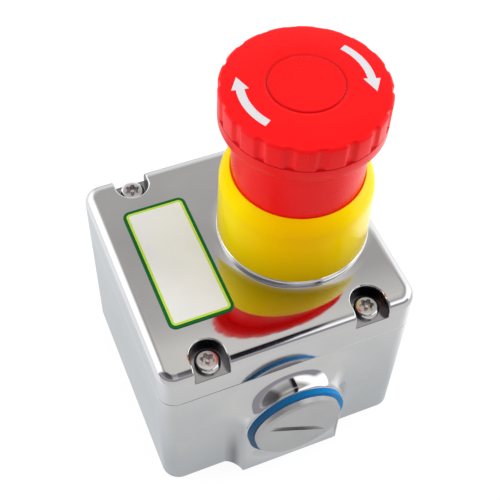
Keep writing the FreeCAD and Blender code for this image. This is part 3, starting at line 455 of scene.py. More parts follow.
satin = Finish("satin_turned_steel", Metallic=1.0)
from_axis = {"Vector": satin.place, "Location": (0.0, 0.0, -BOSS_HEIGHT), "Scale": (1.0, 0.0, 1.0)}
radius = satin.length(satin.node("Mapping", {}, from_axis))
rings = satin.node("TexNoise", {"noise_dimensions": "1D"}, {"W": radius, "Scale": 6000.0, "Detail": 3.0})
haze = satin.noise(160.0)
plug_facing = satin.node("NewGeometry", {}, {}, "Normal")
on_side = satin.ramp(satin.along(plug_facing, BACK), -0.95, -0.5)
on_rim = on_side * satin.ramp(radius, *PLUG_RIM, 0.0, PLUG_LEAN)
forward = satin.node("CombineXYZ", {}, {1: 0.0 - on_rim})
satin.feed(
    Base_Color=satin.mix(satin.ramp(haze, 0.3, 0.7), SATIN_DARK, SATIN_LIGHT),
    Roughness=satin.ramp(haze + rings * 0.4, 0.4, 1.0, 0.30, 0.42),
    Normal=satin.bump(rings, 0.006 * MM, satin.leaned(plug_facing, [forward])),
)
finishes["satin_steel"] = satin
print("turned steel: rim from", in_mm(PLUG_RIM[0]), "mm")

# %% Bright steel, drawn wire and brass
METALS = {
    "screw_steel": ("bright_steel", (0.50, 0.49, 0.49, 1.0), (0.63, 0.62, 0.615, 1.0), 0.12, 0.26, 420.0),
    "spring_steel": ("drawn_wire", (0.42, 0.42, 0.43, 1.0), (0.55, 0.55, 0.56, 1.0), 0.22, 0.38, 700.0),
    "contact_brass": ("stamped_brass", (0.70, 0.50, 0.20, 1.0), (0.82, 0.62, 0.30, 1.0), 0.20, 0.36, 500.0),
}


def metal(name, dark, light, smooth, rough, scale):
    """A worn metal finish: two colours and two roughnesses, blended by cloudy noise over fine grain."""
    finish = Finish(name, Metallic=1.0)
    cloud = finish.noise(scale, 4.0)
    grain = finish.noise(scale * 9.0, 3.0)
    finish.feed(
        Base_Color=finish.mix(finish.ramp(cloud, 0.3, 0.7), dark, light),
        Roughness=finish.ramp(cloud + grain * 0.5, 0.4, 1.1, smooth, rough),
        Normal=finish.bump(grain, 0.004 * MM),
    )
    return finish


for slot_name, recipe in METALS.items():
    finishes[slot_name] = metal(*recipe)
print("metals:", list(finishes))

# %% [markdown]
# The mouldings are dyed all through, so their colour drifts only a little. What tells one moulding from
# another is the skin of its tool: the head has a fine satin spark texture, the collar a gloss, the inner
# parts are duller. One recipe serves all, with its roughness span, its grain size and its bump as the knobs.
# The seal ring's blue carries painted light: it is painted navy on the left and pale on the right, where more
# light falls.

# %% Mouldings


def tool_skin(finish, smooth, rough, grain_scale, grain_depth):
    """Feed the roughness and grain of the tool's skin, and give back the slow drift of the dye."""
    drift = finish.noise(55.0)
    skin = finish.noise(grain_scale, 2.0)
    finish.feed(
        Roughness=finish.ramp(drift + skin * 0.5, 0.5, 1.0, smooth, rough),
        Normal=finish.bump(skin, grain_depth),
    )
    return drift


def moulding(name, dark, light, skin, **constants):
    """A dyed moulding: two shades that drift slowly into each other, and the skin of its tool."""
    finish = Finish(name, **constants)
    drift = tool_skin(finish, *skin)
    finish.feed(Base_Color=finish.mix(finish.ramp(drift, 0.3, 0.7), dark, light))
    return finish


finishes["green_plastic"] = moulding(
    "green_satin_moulding", (0.02, 0.30, 0.07, 1.0), (0.03, 0.36, 0.09, 1.0), (0.35, 0.45, 2600.0, 0.008 * MM)
)
finishes["black_plastic"] = moulding(
    "black_satin_moulding", (0.014, 0.014, 0.015, 1.0), (0.024, 0.024, 0.025, 1.0),
    (0.35, 0.50, 2200.0, 0.010 * MM),
)
finishes["grey_plastic"] = moulding(
    "grey_satin_moulding", (0.34, 0.35, 0.36, 1.0), (0.40, 0.41, 0.42, 1.0), (0.38, 0.50, 2200.0, 0.010 * MM)
)
finishes["black_rubber"] = moulding(
    "black_sheet_rubber", grey(0.010), grey(0.020), (0.60, 0.75, 1800.0, 0.020 * MM)
)
print("finishes:", len(finishes))

# %% Blue seal ring
NAVY, BLUE, SKY = (0.014, 0.085, 0.20, 1.0), (0.004, 0.13, 0.34, 1.0), (0.0, 0.25, 0.66, 1.0)
seal = Finish("blue_seal_ring", Specular_IOR_Level=0.12)
tool_skin(seal, 0.30, 0.42, 1500.0, 0.010 * MM)
across = seal.along(seal.place, RIGHT)
# Painted light: the blue is painted navy on the left and pale on the right.
tint = seal.mix(seal.ramp(across, -13.0 * MM, 0.0), NAVY, BLUE)
seal.feed(Base_Color=seal.mix(seal.ramp(across, 0.0, 11.0 * MM), tint, SKY))
finishes["blue_seal"] = seal
print("finishes:", len(finishes))

# %% [markdown]
# The head and the collar fill most of the picture, so they get more than the shared recipe. In the head,
# shade is painted into two fine grooves: the one round the centre disc and the one above the plain band,
# so those lines are a darker red. Red bounce light is painted into the collar, so its yellow warms towards
# its mouth and its front. Its foot is painted darker as shade, and on its right, where hands rub past
# it, it is glossier.

# %% Red head
GROOVE_RADIUS, GROOVE_HEIGHT, CROWN_HEIGHT = 9.0 * MM, 101.1 * MM, 107.4 * MM
RED_DARK, RED, RED_GROOVE = (0.90, 0.003, 0.005, 1.0), (0.95, 0.005, 0.007, 1.0), (0.42, 0.0, 0.002, 1.0)

red = Finish("red_satin_moulding", Specular_IOR_Level=0.14)
drift = tool_skin(red, 0.24, 0.34, 2600.0, 0.008 * MM)
height = red.along(red.place, UP)
from_axis = {"Vector": red.place, "Location": (-BUTTON_X, 0.0, 0.0), "Scale": (1.0, 1.0, 0.0)}
radius = red.length(red.node("Mapping", {}, from_axis))
# Painted shade: the groove round the centre disc and the groove above the plain band are painted a darker red.
disc_line = red.ramp(abs(radius - GROOVE_RADIUS), 0.25 * MM, 0.60 * MM, 0.40, 0.0)
disc_line = disc_line * red.ramp(height, CROWN_HEIGHT, CROWN_HEIGHT + TINY)
band_line = red.ramp(abs(height - GROOVE_HEIGHT), 0.08 * MM, 0.20 * MM, 0.80, 0.0)
band_line = band_line * red.ramp(radius, 17.5 * MM, 18.0 * MM)
tint = red.mix(red.ramp(drift, 0.3, 0.7), RED_DARK, RED)
red.feed(Base_Color=red.mix(disc_line + band_line, tint, RED_GROOVE))
finishes["red_plastic"] = red
print("red grooves at radius", in_mm(GROOVE_RADIUS), "and height", in_mm(GROOVE_HEIGHT), "mm")

# %% Yellow collar
LEMON, AMBER, SHADED_YELLOW = (1.0, 0.78, 0.0, 1.0), (0.95, 0.46, 0.0, 1.0), (0.55, 0.38, 0.0, 1.0)

yellow = Finish("yellow_gloss_moulding", Specular_IOR_Level=0.02, Coat_Roughness=0.05)
drift = tool_skin(yellow, 0.12, 0.20, 900.0, 0.004 * MM)
height = yellow.along(yellow.place, UP)
# Painted shade: the collar's foot is painted a darker yellow.
foot_shade = yellow.ramp(height, 58.0 * MM, 72.0 * MM, 0.62, 0.0)
# Painted light: red bounce light from the head is painted into the yellow, towards the mouth and the front.
red_bounce = yellow.ramp(height, 62.0 * MM, 80.0 * MM, 0.68, 1.0)
depth = yellow.along(yellow.place, AWAY) - AWAY.x * BUTTON_X
red_bounce = red_bounce * yellow.ramp(depth, -19.5 * MM, -12.5 * MM, 1.0, 0.05)
across = yellow.along(yellow.place, ACROSS) - ACROSS.x * BUTTON_X
rubbed = yellow.ramp(across, 11.5 * MM, 16.0 * MM) * yellow.ramp(across, 16.5 * MM, 19.5 * MM, 0.50, 0.15)
tint = yellow.mix(red_bounce * yellow.ramp(drift, 0.2, 0.8, 0.75, 1.0), LEMON, AMBER)
yellow.feed(Base_Color=yellow.mix(foot_shade, tint, SHADED_YELLOW), Coat_Weight=rubbed)
finishes["yellow_plastic"] = yellow
print("finishes:", len(finishes))

# %% [markdown]
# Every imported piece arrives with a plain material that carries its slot's name. That name picks the finish,
# so no piece can be forgotten: a slot without a finish stops the script here.

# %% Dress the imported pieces
for name, node in nodes.items():
    slot_name = node.data.materials[0].name
    node.data.materials[0] = finishes[slot_name].material
print("dressed:", len(nodes))

# %% [markdown]
# New pieces are shaped in edit mode, and an operator acts on what is selected. The first helpers choose
# faces, edges or points by a test on their place. The second ones take up what every piece needs, and put a
# finished piece at the origin with its place in its mesh.

# %% Words for choosing
MODES = {"POINT": (True, False, False), "EDGE": (False, True, False), "FACE": (False, False, True)}


def choose(piece, mode, chosen):
    """Select only these points, edges or faces, and go to edit mode."""
    mesh = piece.data
    for group in (mesh.vertices, mesh.edges, mesh.polygons):
        group.foreach_set("select", [False] * len(group))
    for element in chosen:
        element.select = True
    bpy.context.tool_settings.mesh_select_mode = MODES[mode]
    bpy.ops.object.mode_set(mode="EDIT")


def pick(piece, mode, test):
    """Choose points by their place, edges by both ends, or faces by their middle and normal."""
    leave_edit_mode()
    mesh = piece.data
    if mode == "POINT":
        chosen = [v for v in mesh.vertices if test(v.co)]
    elif mode == "EDGE":
        ends = [[mesh.vertices[i].co for i in e.vertices] for e in mesh.edges]
        chosen = [e for e, (a, b) in zip(mesh.edges, ends) if test(a) and test(b)]
    else:
        chosen = [f for f in mesh.polygons if test(f.center, f.normal)]
    choose(piece, mode, chosen)
    return len(chosen)


def anywhere(place):
    return True


def faces_up(normal):
    return normal.z > 0.99


def faces_down(normal):
    return normal.z < -0.99


def reach(place, axis):
    """How far a point is from an upright axis."""
    return math.hypot(place.x - axis.x, place.y - axis.y)


def bearing(place, axis):
    """The angle of a point about an upright axis, in degrees."""
    return math.degrees(math.atan2(place.y - axis.y, place.x - axis.x))


def off_step(degrees, step):
    """How far an angle is from the nearest whole step."""
    return abs((degrees + step / 2) % step - step / 2)


print("choosing words ready")

# %% Words for shaping


def settle(piece, name):
    """Name the piece and bring its place, turn and size into its mesh."""
    leave_edit_mode()
    piece.name = name
    piece.data.name = name
    bpy.ops.object.transform_apply(location=True, rotation=True, scale=True)
    return piece


def apply_modifier(piece, kind, **settings):
    """Add a modifier with its settings, and apply it at once."""
    modifier = piece.modifiers.new(kind.lower(), kind)
    for key, value in settings.items():
        setattr(modifier, key, value)
    bpy.ops.object.modifier_apply(modifier=modifier.name)


def copy_of(piece, name, move):
    """Another piece of the same shape, with its own mesh, moved by a matrix."""
    twin = piece.copy()
    twin.data = piece.data.copy()
    twin.name = name
    twin.data.name = name
    twin.data.transform(move)
    bpy.context.scene.collection.objects.link(twin)
    return twin


def about(place, degrees):
    """A turn about an upright axis through a place."""
    there = Matrix.Translation(place)
    return there @ Matrix.Rotation(math.radians(degrees), 4, "Z") @ there.inverted()


print("placing words ready")

# %% Words for turning and finishing


def draw_in(share, axis, height):
    """Scale what is selected towards an upright axis, or away from it."""
    bpy.ops.transform.resize(value=(share, share, 1.0), center_override=(axis.x, axis.y, height))


def extrude(*move):
    """Extrude what is selected, and move it."""
    bpy.ops.mesh.extrude_region_move(TRANSFORM_OT_translate={"value": move})


def face_outwards():
    """Turn every face outwards, and leave edit mode."""
    bpy.ops.mesh.select_all(action="SELECT")
    bpy.ops.mesh.normals_make_consistent(inside=False)
    leave_edit_mode()


def turned(name, axis, steps, profile):
    """Turn a profile about an upright axis: extrude a circle from point to point, and bridge its ends."""
    radius, height = profile[0]
    bpy.ops.mesh.primitive_circle_add(vertices=steps, radius=radius, location=(axis.x, axis.y, height))
    piece = settle(bpy.context.object, name)
    pick(piece, "EDGE", anywhere)
    for next_radius, next_height in profile[1:]:
        extrude(0.0, 0.0, next_height - height)
        draw_in(next_radius / radius, axis, next_height)
        radius, height = next_radius, next_height
    bpy.ops.mesh.select_all(action="DESELECT")
    bpy.ops.mesh.select_non_manifold()
    bpy.ops.mesh.bridge_edge_loops()
    face_outwards()
    return piece


def paint(piece, *coats):
    """Give a piece its finishes, in place of any it had."""
    piece.data.materials.clear()
    for coat in coats:
        piece.data.materials.append(coat.material)


def finish_piece(piece, finish, body, smooth=35):
    """Shade a shaped piece, give it its finish, and let it ride on its body."""
    bpy.ops.object.shade_smooth_by_angle(angle=math.radians(smooth))
    paint(piece, finish)
    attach(piece, body)
    deselect_all()


print("shaping words ready")

# %% [markdown]
# Four tamper-resistant screws hold the lid: a low round head with a six-lobed recess and a pin in its
# middle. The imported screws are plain, so one is modelled here in full and copied to the other three corners.
# The head starts as a cylinder whose top rim is bevelled round. Its top face is inset, the inset ring's
# points are drawn in at six valleys to make the lobes, and the lobed face is pushed down into the head.

# %% One lid screw: head and shank
low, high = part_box("lid_screws")
PACKED_RADIUS = 2.85 * MM
HEAD_RADIUS = 3.3 * MM
HEAD_HEIGHT = 2.4 * MM
RIM_ROUND = 0.95 * MM
SHANK_RADIUS = 1.5 * MM
screw_axis = Vector((low.x + PACKED_RADIUS, low.y + PACKED_RADIUS, 0.0))
screw_top = high.z
screw_seat = high.z - HEAD_HEIGHT
bpy.ops.mesh.primitive_cylinder_add(
    vertices=48, radius=HEAD_RADIUS, depth=HEAD_HEIGHT,
    location=screw_axis + Vector((0.0, 0.0, screw_top - HEAD_HEIGHT / 2)),
)
screw = settle(bpy.context.object, "lid_screw_front_left")


def on_top(place):
    return place.z > screw_top - TINY


pick(screw, "EDGE", on_top)
bpy.ops.mesh.bevel(offset=RIM_ROUND, segments=7, profile=0.5, affect="EDGES")
pick(screw, "FACE", lambda place, normal: faces_down(normal))
bpy.ops.mesh.inset(thickness=HEAD_RADIUS - SHANK_RADIUS)
extrude(0.0, 0.0, low.z - screw_seat)
leave_edit_mode()
print("screw head and shank:", len(screw.data.polygons), "faces before the recess")

# %% One lid screw: lobed recess and pin
LOBE_RADIUS = 2.0 * MM
LOBE_DRAW = {0.0: 0.70, 7.5: 0.74, 15.0: 0.87, 22.5: 0.97}
RECESS_DEPTH = 1.3 * MM
PIN_RADIUS, PIN_LENGTH, PIN_RISE = 0.55 * MM, 1.2 * MM, 0.4 * MM
VALLEY_STEP = 60.0


def on_lobes(place, degrees):
    """Is this a point of the recess's edge, so many degrees from one of its six valleys?"""
    inside = reach(place, screw_axis) < LOBE_RADIUS + 0.2 * MM
    from_valley = off_step(bearing(place, screw_axis), VALLEY_STEP)
    return on_top(place) and inside and abs(from_valley - degrees) < 2.0


def in_middle(place, normal):
    return faces_up(normal) and on_top(place) and reach(place, screw_axis) < 0.1 * MM


pick(screw, "FACE", lambda place, normal: faces_up(normal) and on_top(place))
bpy.ops.mesh.inset(thickness=HEAD_RADIUS - RIM_ROUND - LOBE_RADIUS)
for degrees, draw in LOBE_DRAW.items():
    pick(screw, "POINT", lambda place: on_lobes(place, degrees))
    draw_in(draw, screw_axis, screw_top)
pick(screw, "FACE", in_middle)
extrude(0.0, 0.0, -RECESS_DEPTH)
deselect_all()
pin_middle = screw_axis + Vector((0.0, 0.0, screw_top - RECESS_DEPTH + PIN_RISE))
bpy.ops.mesh.primitive_cylinder_add(vertices=24, radius=PIN_RADIUS, depth=PIN_LENGTH, location=pin_middle)
pin = settle(bpy.context.object, "recess_pin")
pick(pin, "EDGE", lambda place: place.z > pin_middle.z)
bpy.ops.mesh.bevel(offset=0.2 * MM, segments=4, affect="EDGES")
leave_edit_mode()
screw.select_set(True)
bpy.context.view_layer.objects.active = screw
bpy.ops.object.join()
bpy.ops.object.shade_smooth_by_angle(angle=math.radians(35))
print("one lid screw:", len(screw.data.polygons), "faces")

# %% Four lid screws
paint(screw, finishes["screw_steel"])
span = Vector((high.x - low.x - 2 * PACKED_RADIUS, high.y - low.y - 2 * PACKED_RADIUS, 0.0))
SCREW_PLACES = {
    "lid_screw_front_right": (Vector((span.x, 0.0, 0.0)), 17.0),
    "lid_screw_back_left": (Vector((0.0, span.y, 0.0)), 41.0),
    "lid_screw_back_right": (Vector((span.x, span.y, 0.0)), 8.0),
}
screws = [screw]
for name, (step, degrees) in SCREW_PLACES.items():
    screws.append(copy_of(screw, name, Matrix.Translation(step) @ about(screw_axis, degrees)))
for piece in screws:
    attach(piece, "enclosure")
    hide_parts("lid_screws")
deselect_all()
print("lid screws:", len(screws))

# %% [markdown]
# Where the button meets the lid there is a bright ring with a half-round edge, like a bead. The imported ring
# has a square edge with a small rounding, which mirrors as one flat band, so a ring of the same size is
# modelled here with a full round. A disc's two rims are bevelled until they almost meet. Then its underside
# is hollowed for the seal, and the middle is opened by deleting the inset faces and bridging the two loops
# that are left.

# %% Bezel bead
bezel_low, bezel_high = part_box("bezel_ring")
bezel_middle = (bezel_low + bezel_high) / 2
bezel_radius = (bezel_high.x - bezel_low.x) / 2
bezel_height = bezel_high.z - bezel_low.z
BEAD_ROUND = 1.2 * MM
SEAL_RADIUS, SEAL_ROOM = 18.6 * MM, 1.0 * MM
BORE_RADIUS = 11.2 * MM
bpy.ops.mesh.primitive_cylinder_add(
    vertices=160, radius=bezel_radius, depth=bezel_height, location=bezel_middle
)
bezel = settle(bpy.context.object, "bezel_bead")
for level in (bezel_low.z, bezel_high.z):
    pick(bezel, "EDGE", lambda place: abs(place.z - level) < TINY)
    bpy.ops.mesh.bevel(offset=BEAD_ROUND, segments=8, profile=0.5, affect="EDGES")
pick(bezel, "FACE", lambda place, normal: faces_down(normal) and place.z < bezel_low.z + TINY)
bpy.ops.mesh.inset(thickness=bezel_radius - BEAD_ROUND - SEAL_RADIUS)
extrude(0.0, 0.0, SEAL_ROOM)
bpy.ops.mesh.inset(thickness=SEAL_RADIUS - BORE_RADIUS)
bpy.ops.mesh.delete(type="FACE")
pick(bezel, "FACE", lambda place, normal: faces_up(normal) and place.z > bezel_high.z - TINY)
bpy.ops.mesh.inset(thickness=bezel_radius - BEAD_ROUND - BORE_RADIUS)
bpy.ops.mesh.delete(type="FACE")
pick(bezel, "EDGE", lambda place: reach(place, bezel_middle) < BORE_RADIUS + 0.1 * MM)
bpy.ops.mesh.bridge_edge_loops()
face_outwards()
bead_steel = metal("bead_steel", (0.78, 0.78, 0.785, 1.0), (0.86, 0.86, 0.865, 1.0), 0.12, 0.22, 300.0)
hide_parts("bezel_ring")
finish_piece(bezel, bead_steel, "enclosure")
print("bezel bead:", in_mm(bezel_radius), "mm in radius,", len(bezel.data.polygons), "faces")

# %% [markdown]
# The head has eighteen finger flutes that run over its rim, so its outline is scalloped even from above. The
# packed head's flutes are shallow and end in the rim's rounding. Here the head is turned again at the same
# size, with a softer groove round the centre disc and a ledge below it that closes the gap. Then the points
# of each flute are drawn in towards the axis, most in the flute's middle and less towards its sides.

# %% Fluted head: turn it
head_low, head_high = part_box("mushroom_head")
neck_low, neck_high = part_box("neck_sleeve")
head_middle = (head_low + head_high) / 2
axis_place = Vector((head_middle.x, head_middle.y, head_high.z + 1.0 * MM))
head_radius = (head_high.x - head_low.x) / 2
neck_radius = (neck_high.x - neck_low.x) / 2
NECK_GAP = 0.05 * MM
bore = neck_radius + NECK_GAP
FOOT, RIM_RISE, RIM_CURVE = 97.3 * MM, 9.4 * MM, 1.0 * MM
SEAT_RADIUS, SEAT_DROP, FLOOR_DROP = 4.0 * MM, 2.0 * MM, 5.6 * MM
# Millimetres in from the head's radius, and up from its foot.
SKIRT = ((0.8, 0.0), (0.23, 0.23), (0.0, 0.8), (0.0, 3.65), (0.22, 3.8), (0.0, 3.95), (0.0, 6.5), (0.0, 9.4))
# Millimetres from the axis, and down from the head's top.
DISC_GROOVE = ((9.9, 0.05), (9.55, 0.1), (9.3, 0.19), (9.12, 0.29), (8.93, 0.32), (8.93, 2.0))
rim = FOOT + RIM_RISE
rim_turns = [math.radians(degrees) for degrees in (15, 30, 45, 60, 75, 90)]
profile = [(SEAT_RADIUS, head_high.z - SEAT_DROP), (SEAT_RADIUS, head_high.z - FLOOR_DROP)]
profile += [(bore, head_high.z - FLOOR_DROP), (bore, FOOT)]
profile += [(head_radius - inset * MM, FOOT + rise * MM) for inset, rise in SKIRT]
profile += [(head_radius - RIM_CURVE * (1 - math.cos(a)), rim + RIM_CURVE * math.sin(a)) for a in rim_turns]
profile += [(radius * MM, head_high.z - drop * MM) for radius, drop in DISC_GROOVE]
head = turned("fluted_head", axis_place, 288, profile)
print("head turned:", len(head.data.polygons), "faces,", in_mm(head_radius), "mm in radius")

# %% Fluted head: draw the flutes in
FLUTE_STEP, FLUTE_PHASE = 20.0, -3.75
FLUTE_DEPTHS = {0.0: 0.55 * MM, 1.25: 0.51 * MM, 2.5: 0.38 * MM, 3.75: 0.04 * MM}
FLUTE_FOOT, FLUTE_TOP = FOOT + 3.9 * MM, rim + 0.9 * MM


def in_flute(place, degrees):
    """Is this a point of the skirt, so many degrees from the middle of a flute?"""
    on_skirt = reach(place, axis_place) > head_radius - 0.6 * MM and FLUTE_FOOT < place.z < FLUTE_TOP
    from_flute = off_step(bearing(place, axis_place) - FLUTE_PHASE, FLUTE_STEP)
    return on_skirt and abs(from_flute - degrees) < 0.3


for degrees, depth in FLUTE_DEPTHS.items():
    picked = pick(head, "POINT", lambda place: in_flute(place, degrees))
    draw_in(1 - depth / head_radius, axis_place, rim)
    print("flute points drawn in by", in_mm(depth), "mm:", picked)
leave_edit_mode()
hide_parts("mushroom_head")
finish_piece(head, red, "button", 50)

# %% [markdown]
# The collar's mouth has a thin soft lip that wipes the neck, so no dark gap shows between yellow and red. It
# is a small turned ring inside the mouth, a hair wider than the neck, which slides through it.

# %% Collar lip
collar_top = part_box("guard_collar")[1].z
MOUTH_RADIUS = 16.94 * MM
LIP_TALL, LIP_CROWN, LIP_FALL = 0.7 * MM, 0.02 * MM, 0.15 * MM
lip_radius = neck_radius + NECK_GAP
lip_top = collar_top - 0.05 * MM
lip = turned("collar_lip", axis_place, 160, [
    (MOUTH_RADIUS, lip_top - LIP_TALL),
    (MOUTH_RADIUS, lip_top),
    ((MOUTH_RADIUS + lip_radius) / 2, lip_top + LIP_CROWN),
    (lip_radius, lip_top - LIP_FALL),
    (lip_radius, lip_top - LIP_TALL),
])
finish_piece(lip, yellow, "enclosure", 60)
print("lip:", in_mm(lip_radius), "to", in_mm(MOUTH_RADIUS), "mm")

# %% [markdown]
# The conduit boss doesn't stand square on the wall: the casting flares out to meet it, and that hollow flare
# catches the light all round the boss. A half circle with two straight legs is the boss's outline. It is
# extruded back to the wall, out along the wall, and forward again along the hollow curve, scaled at each
# step, and its two ends are bridged. It is let a hair into the wall and the boss, so that no gap shows. The
# legs are left too long, and one straight cut just above the level of the back face trims them and fills the
# cut.

# %% Boss flare: arch
BOSS_HALF, FLARE_HALF, FLARE_REACH = 14.2 * MM, 14.41 * MM, 18.4 * MM
BOSS_FACE, FLARE_FACE, WALL_FRONT = -36.95 * MM, -36.985 * MM, -32.46 * MM
FLARE_STEPS, HOLLOW, CROWDING = 16, 1.3, 1.6
boss_middle = Vector((0.0, BOSS_FACE, BOSS_HEIGHT))
to_wall = (math.pi / 2, 0.0, 0.0)
bpy.ops.mesh.primitive_circle_add(vertices=128, radius=BOSS_HALF, location=boss_middle, rotation=to_wall)
flare = settle(bpy.context.object, "boss_flare")
pick(flare, "POINT", lambda place: place.z < BOSS_HEIGHT - TINY)
bpy.ops.mesh.delete(type="VERT")
pick(flare, "POINT", lambda place: place.z < BOSS_HEIGHT + TINY)
extrude(0.0, 0.0, -BOSS_HEIGHT * 1.2)
leave_edit_mode()
print("arch points:", len(flare.data.vertices))

# %% Boss flare: hollow sides


def flare_point(share):
    """Half width and place on the hollow curve, from the wall at share 0 to the boss's face at share 1."""
    turn = math.radians(90.0) * share ** CROWDING
    half = FLARE_REACH - (FLARE_REACH - FLARE_HALF) * math.sin(turn) ** HOLLOW
    return half, FLARE_FACE + (WALL_FRONT - FLARE_FACE) * math.cos(turn) ** HOLLOW


pick(flare, "EDGE", anywhere)
half, face = BOSS_HALF, BOSS_FACE
curve = [flare_point(step / FLARE_STEPS) for step in range(FLARE_STEPS + 1)]
for next_half, next_face in [(BOSS_HALF, WALL_FRONT)] + curve:
    extrude(0.0, next_face - face, 0.0)
    grow = next_half / half
    bpy.ops.transform.resize(value=(grow, 1.0, grow), center_override=(0.0, next_face, BOSS_HEIGHT))
    half, face = next_half, next_face
picked = pick(flare, "EDGE", lambda place: place.y < BOSS_FACE + TINY)
print("edges to bridge:", picked)
bpy.ops.mesh.bridge_edge_loops()
bpy.ops.mesh.select_all(action="SELECT")
bpy.ops.mesh.bisect(plane_co=(0.0, 0.0, TINY), plane_no=(0.0, 0.0, -1.0), use_fill=True, clear_outer=True)
face_outwards()
finish_piece(flare, steel, "enclosure", 50)
lowest = min(v.co.z for v in flare.data.vertices)
print("flare:", len(flare.data.polygons), "faces, from z", in_mm(lowest))

# %% [markdown]
# Inside the switch six coil springs change length as the head is pressed. A packed spring is a stiff solid,
# so each one is replaced by a wound one. A small circle of wire is wound up by a screw modifier until it
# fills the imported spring's box, and its two ends are capped. Each size is wound once and copied to the other
# seats.

# %% Wind the springs
WINDINGS = {"return": (1.3 * MM, 6), "contact": (0.5 * MM, 5), "latch": (0.4 * MM, 3)}
COIL_STEPS = 28


def wound(node, wire, turns, along):
    """Wind a circle of wire along Z or X until it fills a packed spring's box, and cap both ends."""
    low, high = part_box(node)
    radius = (high.y - low.y - wire) / 2
    upright = along == "Z"
    start = (radius, 0.0, 0.0) if upright else (0.0, radius, 0.0)
    rise = (high.z - low.z if upright else high.x - low.x) - wire
    lean = math.pi / 2 if upright else 0.0
    bpy.ops.mesh.primitive_circle_add(vertices=8, radius=wire / 2, location=start, rotation=(lean, 0.0, 0.0))
    piece = settle(bpy.context.object, "wound_" + node)
    apply_modifier(
        piece, "SCREW", axis=along, steps=COIL_STEPS, render_steps=COIL_STEPS,
        iterations=turns, screw_offset=rise / turns,
    )
    pick(piece, "EDGE", anywhere)
    bpy.ops.mesh.fill_holes(sides=0)
    face_outwards()
    bpy.ops.object.shade_smooth_by_angle(angle=math.radians(60))
    spots = [v.co for v in piece.data.vertices]
    lowest = Vector([min(spot[i] for spot in spots) for i in range(3)])
    highest = Vector([max(spot[i] for spot in spots) for i in range(3)])
    piece.data.transform(Matrix.Translation((low + high - lowest - highest) / 2))
    paint(piece, finishes["spring_steel"])
    deselect_all()
    return piece


springs, patterns = [], {}
for joint in frame["record"]["behaviour"]["joints"]:
    for rule in joint.get("deforming_nodes", []):
        node = rule["node"]
        low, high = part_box(node)
        kind = next(word for word in WINDINGS if word in node)
        if kind in patterns:
            pattern, place = patterns[kind]
            spring = copy_of(pattern, "wound_" + node, Matrix.Translation((low + high) / 2 - place))
        else:
            spring = wound(node, *WINDINGS[kind], rule["mode"][-1].upper())
            patterns[kind] = spring, (low + high) / 2
        springs.append((spring, joint, rule))
print("springs:", [(spring.name, len(spring.data.polygons)) for spring, joint, rule in springs])

# %% [markdown]
# The record says which joint works each spring and which end is seated. A spring that is pressed together
# flattens towards its seat by the joint's whole travel. A latch spring grows longer instead, because its
# pawl moves away from the seat. Here the pressed springs ride on the enclosure with meshes of their own, the
# latch springs get their place baked into their meshes, and each spring's lengths are printed.

# %% Hide the packed springs and print the wound ones' travel
for spring, joint, rule in springs:
    node, travel = rule["node"], joint["range_m"][1]
    low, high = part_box(node)
    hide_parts(node)
    if rule["mode"] == "scale_z":
        seat = rule["fixed_end_z_m"]
        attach(spring, "enclosure")
        1.0 - travel / (high.z - seat)
        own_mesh(spring)
        print(node, "pressed from", in_mm(high.z - seat), "to", in_mm(high.z - seat - travel), "mm")
    else:
        seated, free = sorted((low.x, high.x), key=lambda x: abs(x - rule["fixed_end_x_m"]))
        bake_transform(spring)
        print(node, "drawn out from", in_mm(high.x - low.x), "by", in_mm(travel), "mm")

# %% [markdown]
# Two white arrows on the head say which way to turn it. They are pad-printed ink, so each is a thin skin
# that lies on the head's slightly sloping top. The shaft begins as one short edge across the print, spun
# about the button's axis. The end of the shaft is widened for the barbs and drawn out to a point. A
# Shrinkwrap modifier then lays the flat arrow on the head, and Solidify gives the ink its thickness.

# %% First turn arrow
SHAFT_RADIUS = 15.0 * MM
SHAFT_WIDTH = 1.95 * MM
BARB_WIDTH = 4.0 * MM
TIP_RADIUS = 15.9 * MM
TAIL_ANGLE, BASE_ANGLE, TIP_ANGLE = 32.0, -14.0, -28.6
SHAFT_STEPS = 24


def on_print(radius, degrees):
    """A point of the flat print, from its distance and angle about the button's axis."""
    angle = math.radians(degrees)
    return axis_place + Vector((math.cos(angle), math.sin(angle), 0.0)) * radius


bpy.ops.mesh.primitive_plane_add(size=SHAFT_WIDTH, location=axis_place + Vector((SHAFT_RADIUS, 0.0, 0.0)))
arrow = settle(bpy.context.object, "turn_arrow_right")
pick(arrow, "POINT", lambda place: place.y < axis_place.y)
bpy.ops.mesh.delete(type="VERT")
pick(arrow, "POINT", anywhere)
bpy.ops.transform.translate(value=(0.0, -SHAFT_WIDTH / 2, 0.0))
leave_edit_mode()
arrow.data.transform(about(axis_place, TAIL_ANGLE))
pick(arrow, "EDGE", anywhere)
shaft_turn = math.radians(TAIL_ANGLE - BASE_ANGLE)
bpy.ops.mesh.spin(steps=SHAFT_STEPS, angle=shaft_turn, center=axis_place, axis=UP)
leave_edit_mode()
angles = [bearing(v.co, axis_place) for v in arrow.data.vertices]
print("shaft runs from", round(max(angles), 1), "to", round(min(angles), 1), "degrees")

# %% First turn arrow: barbs, point and thickness
PRINT_LIFT, PRINT_THICKNESS = 0.02 * MM, 0.05 * MM


def near(place, target):
    return (place - target).length < 0.05 * MM


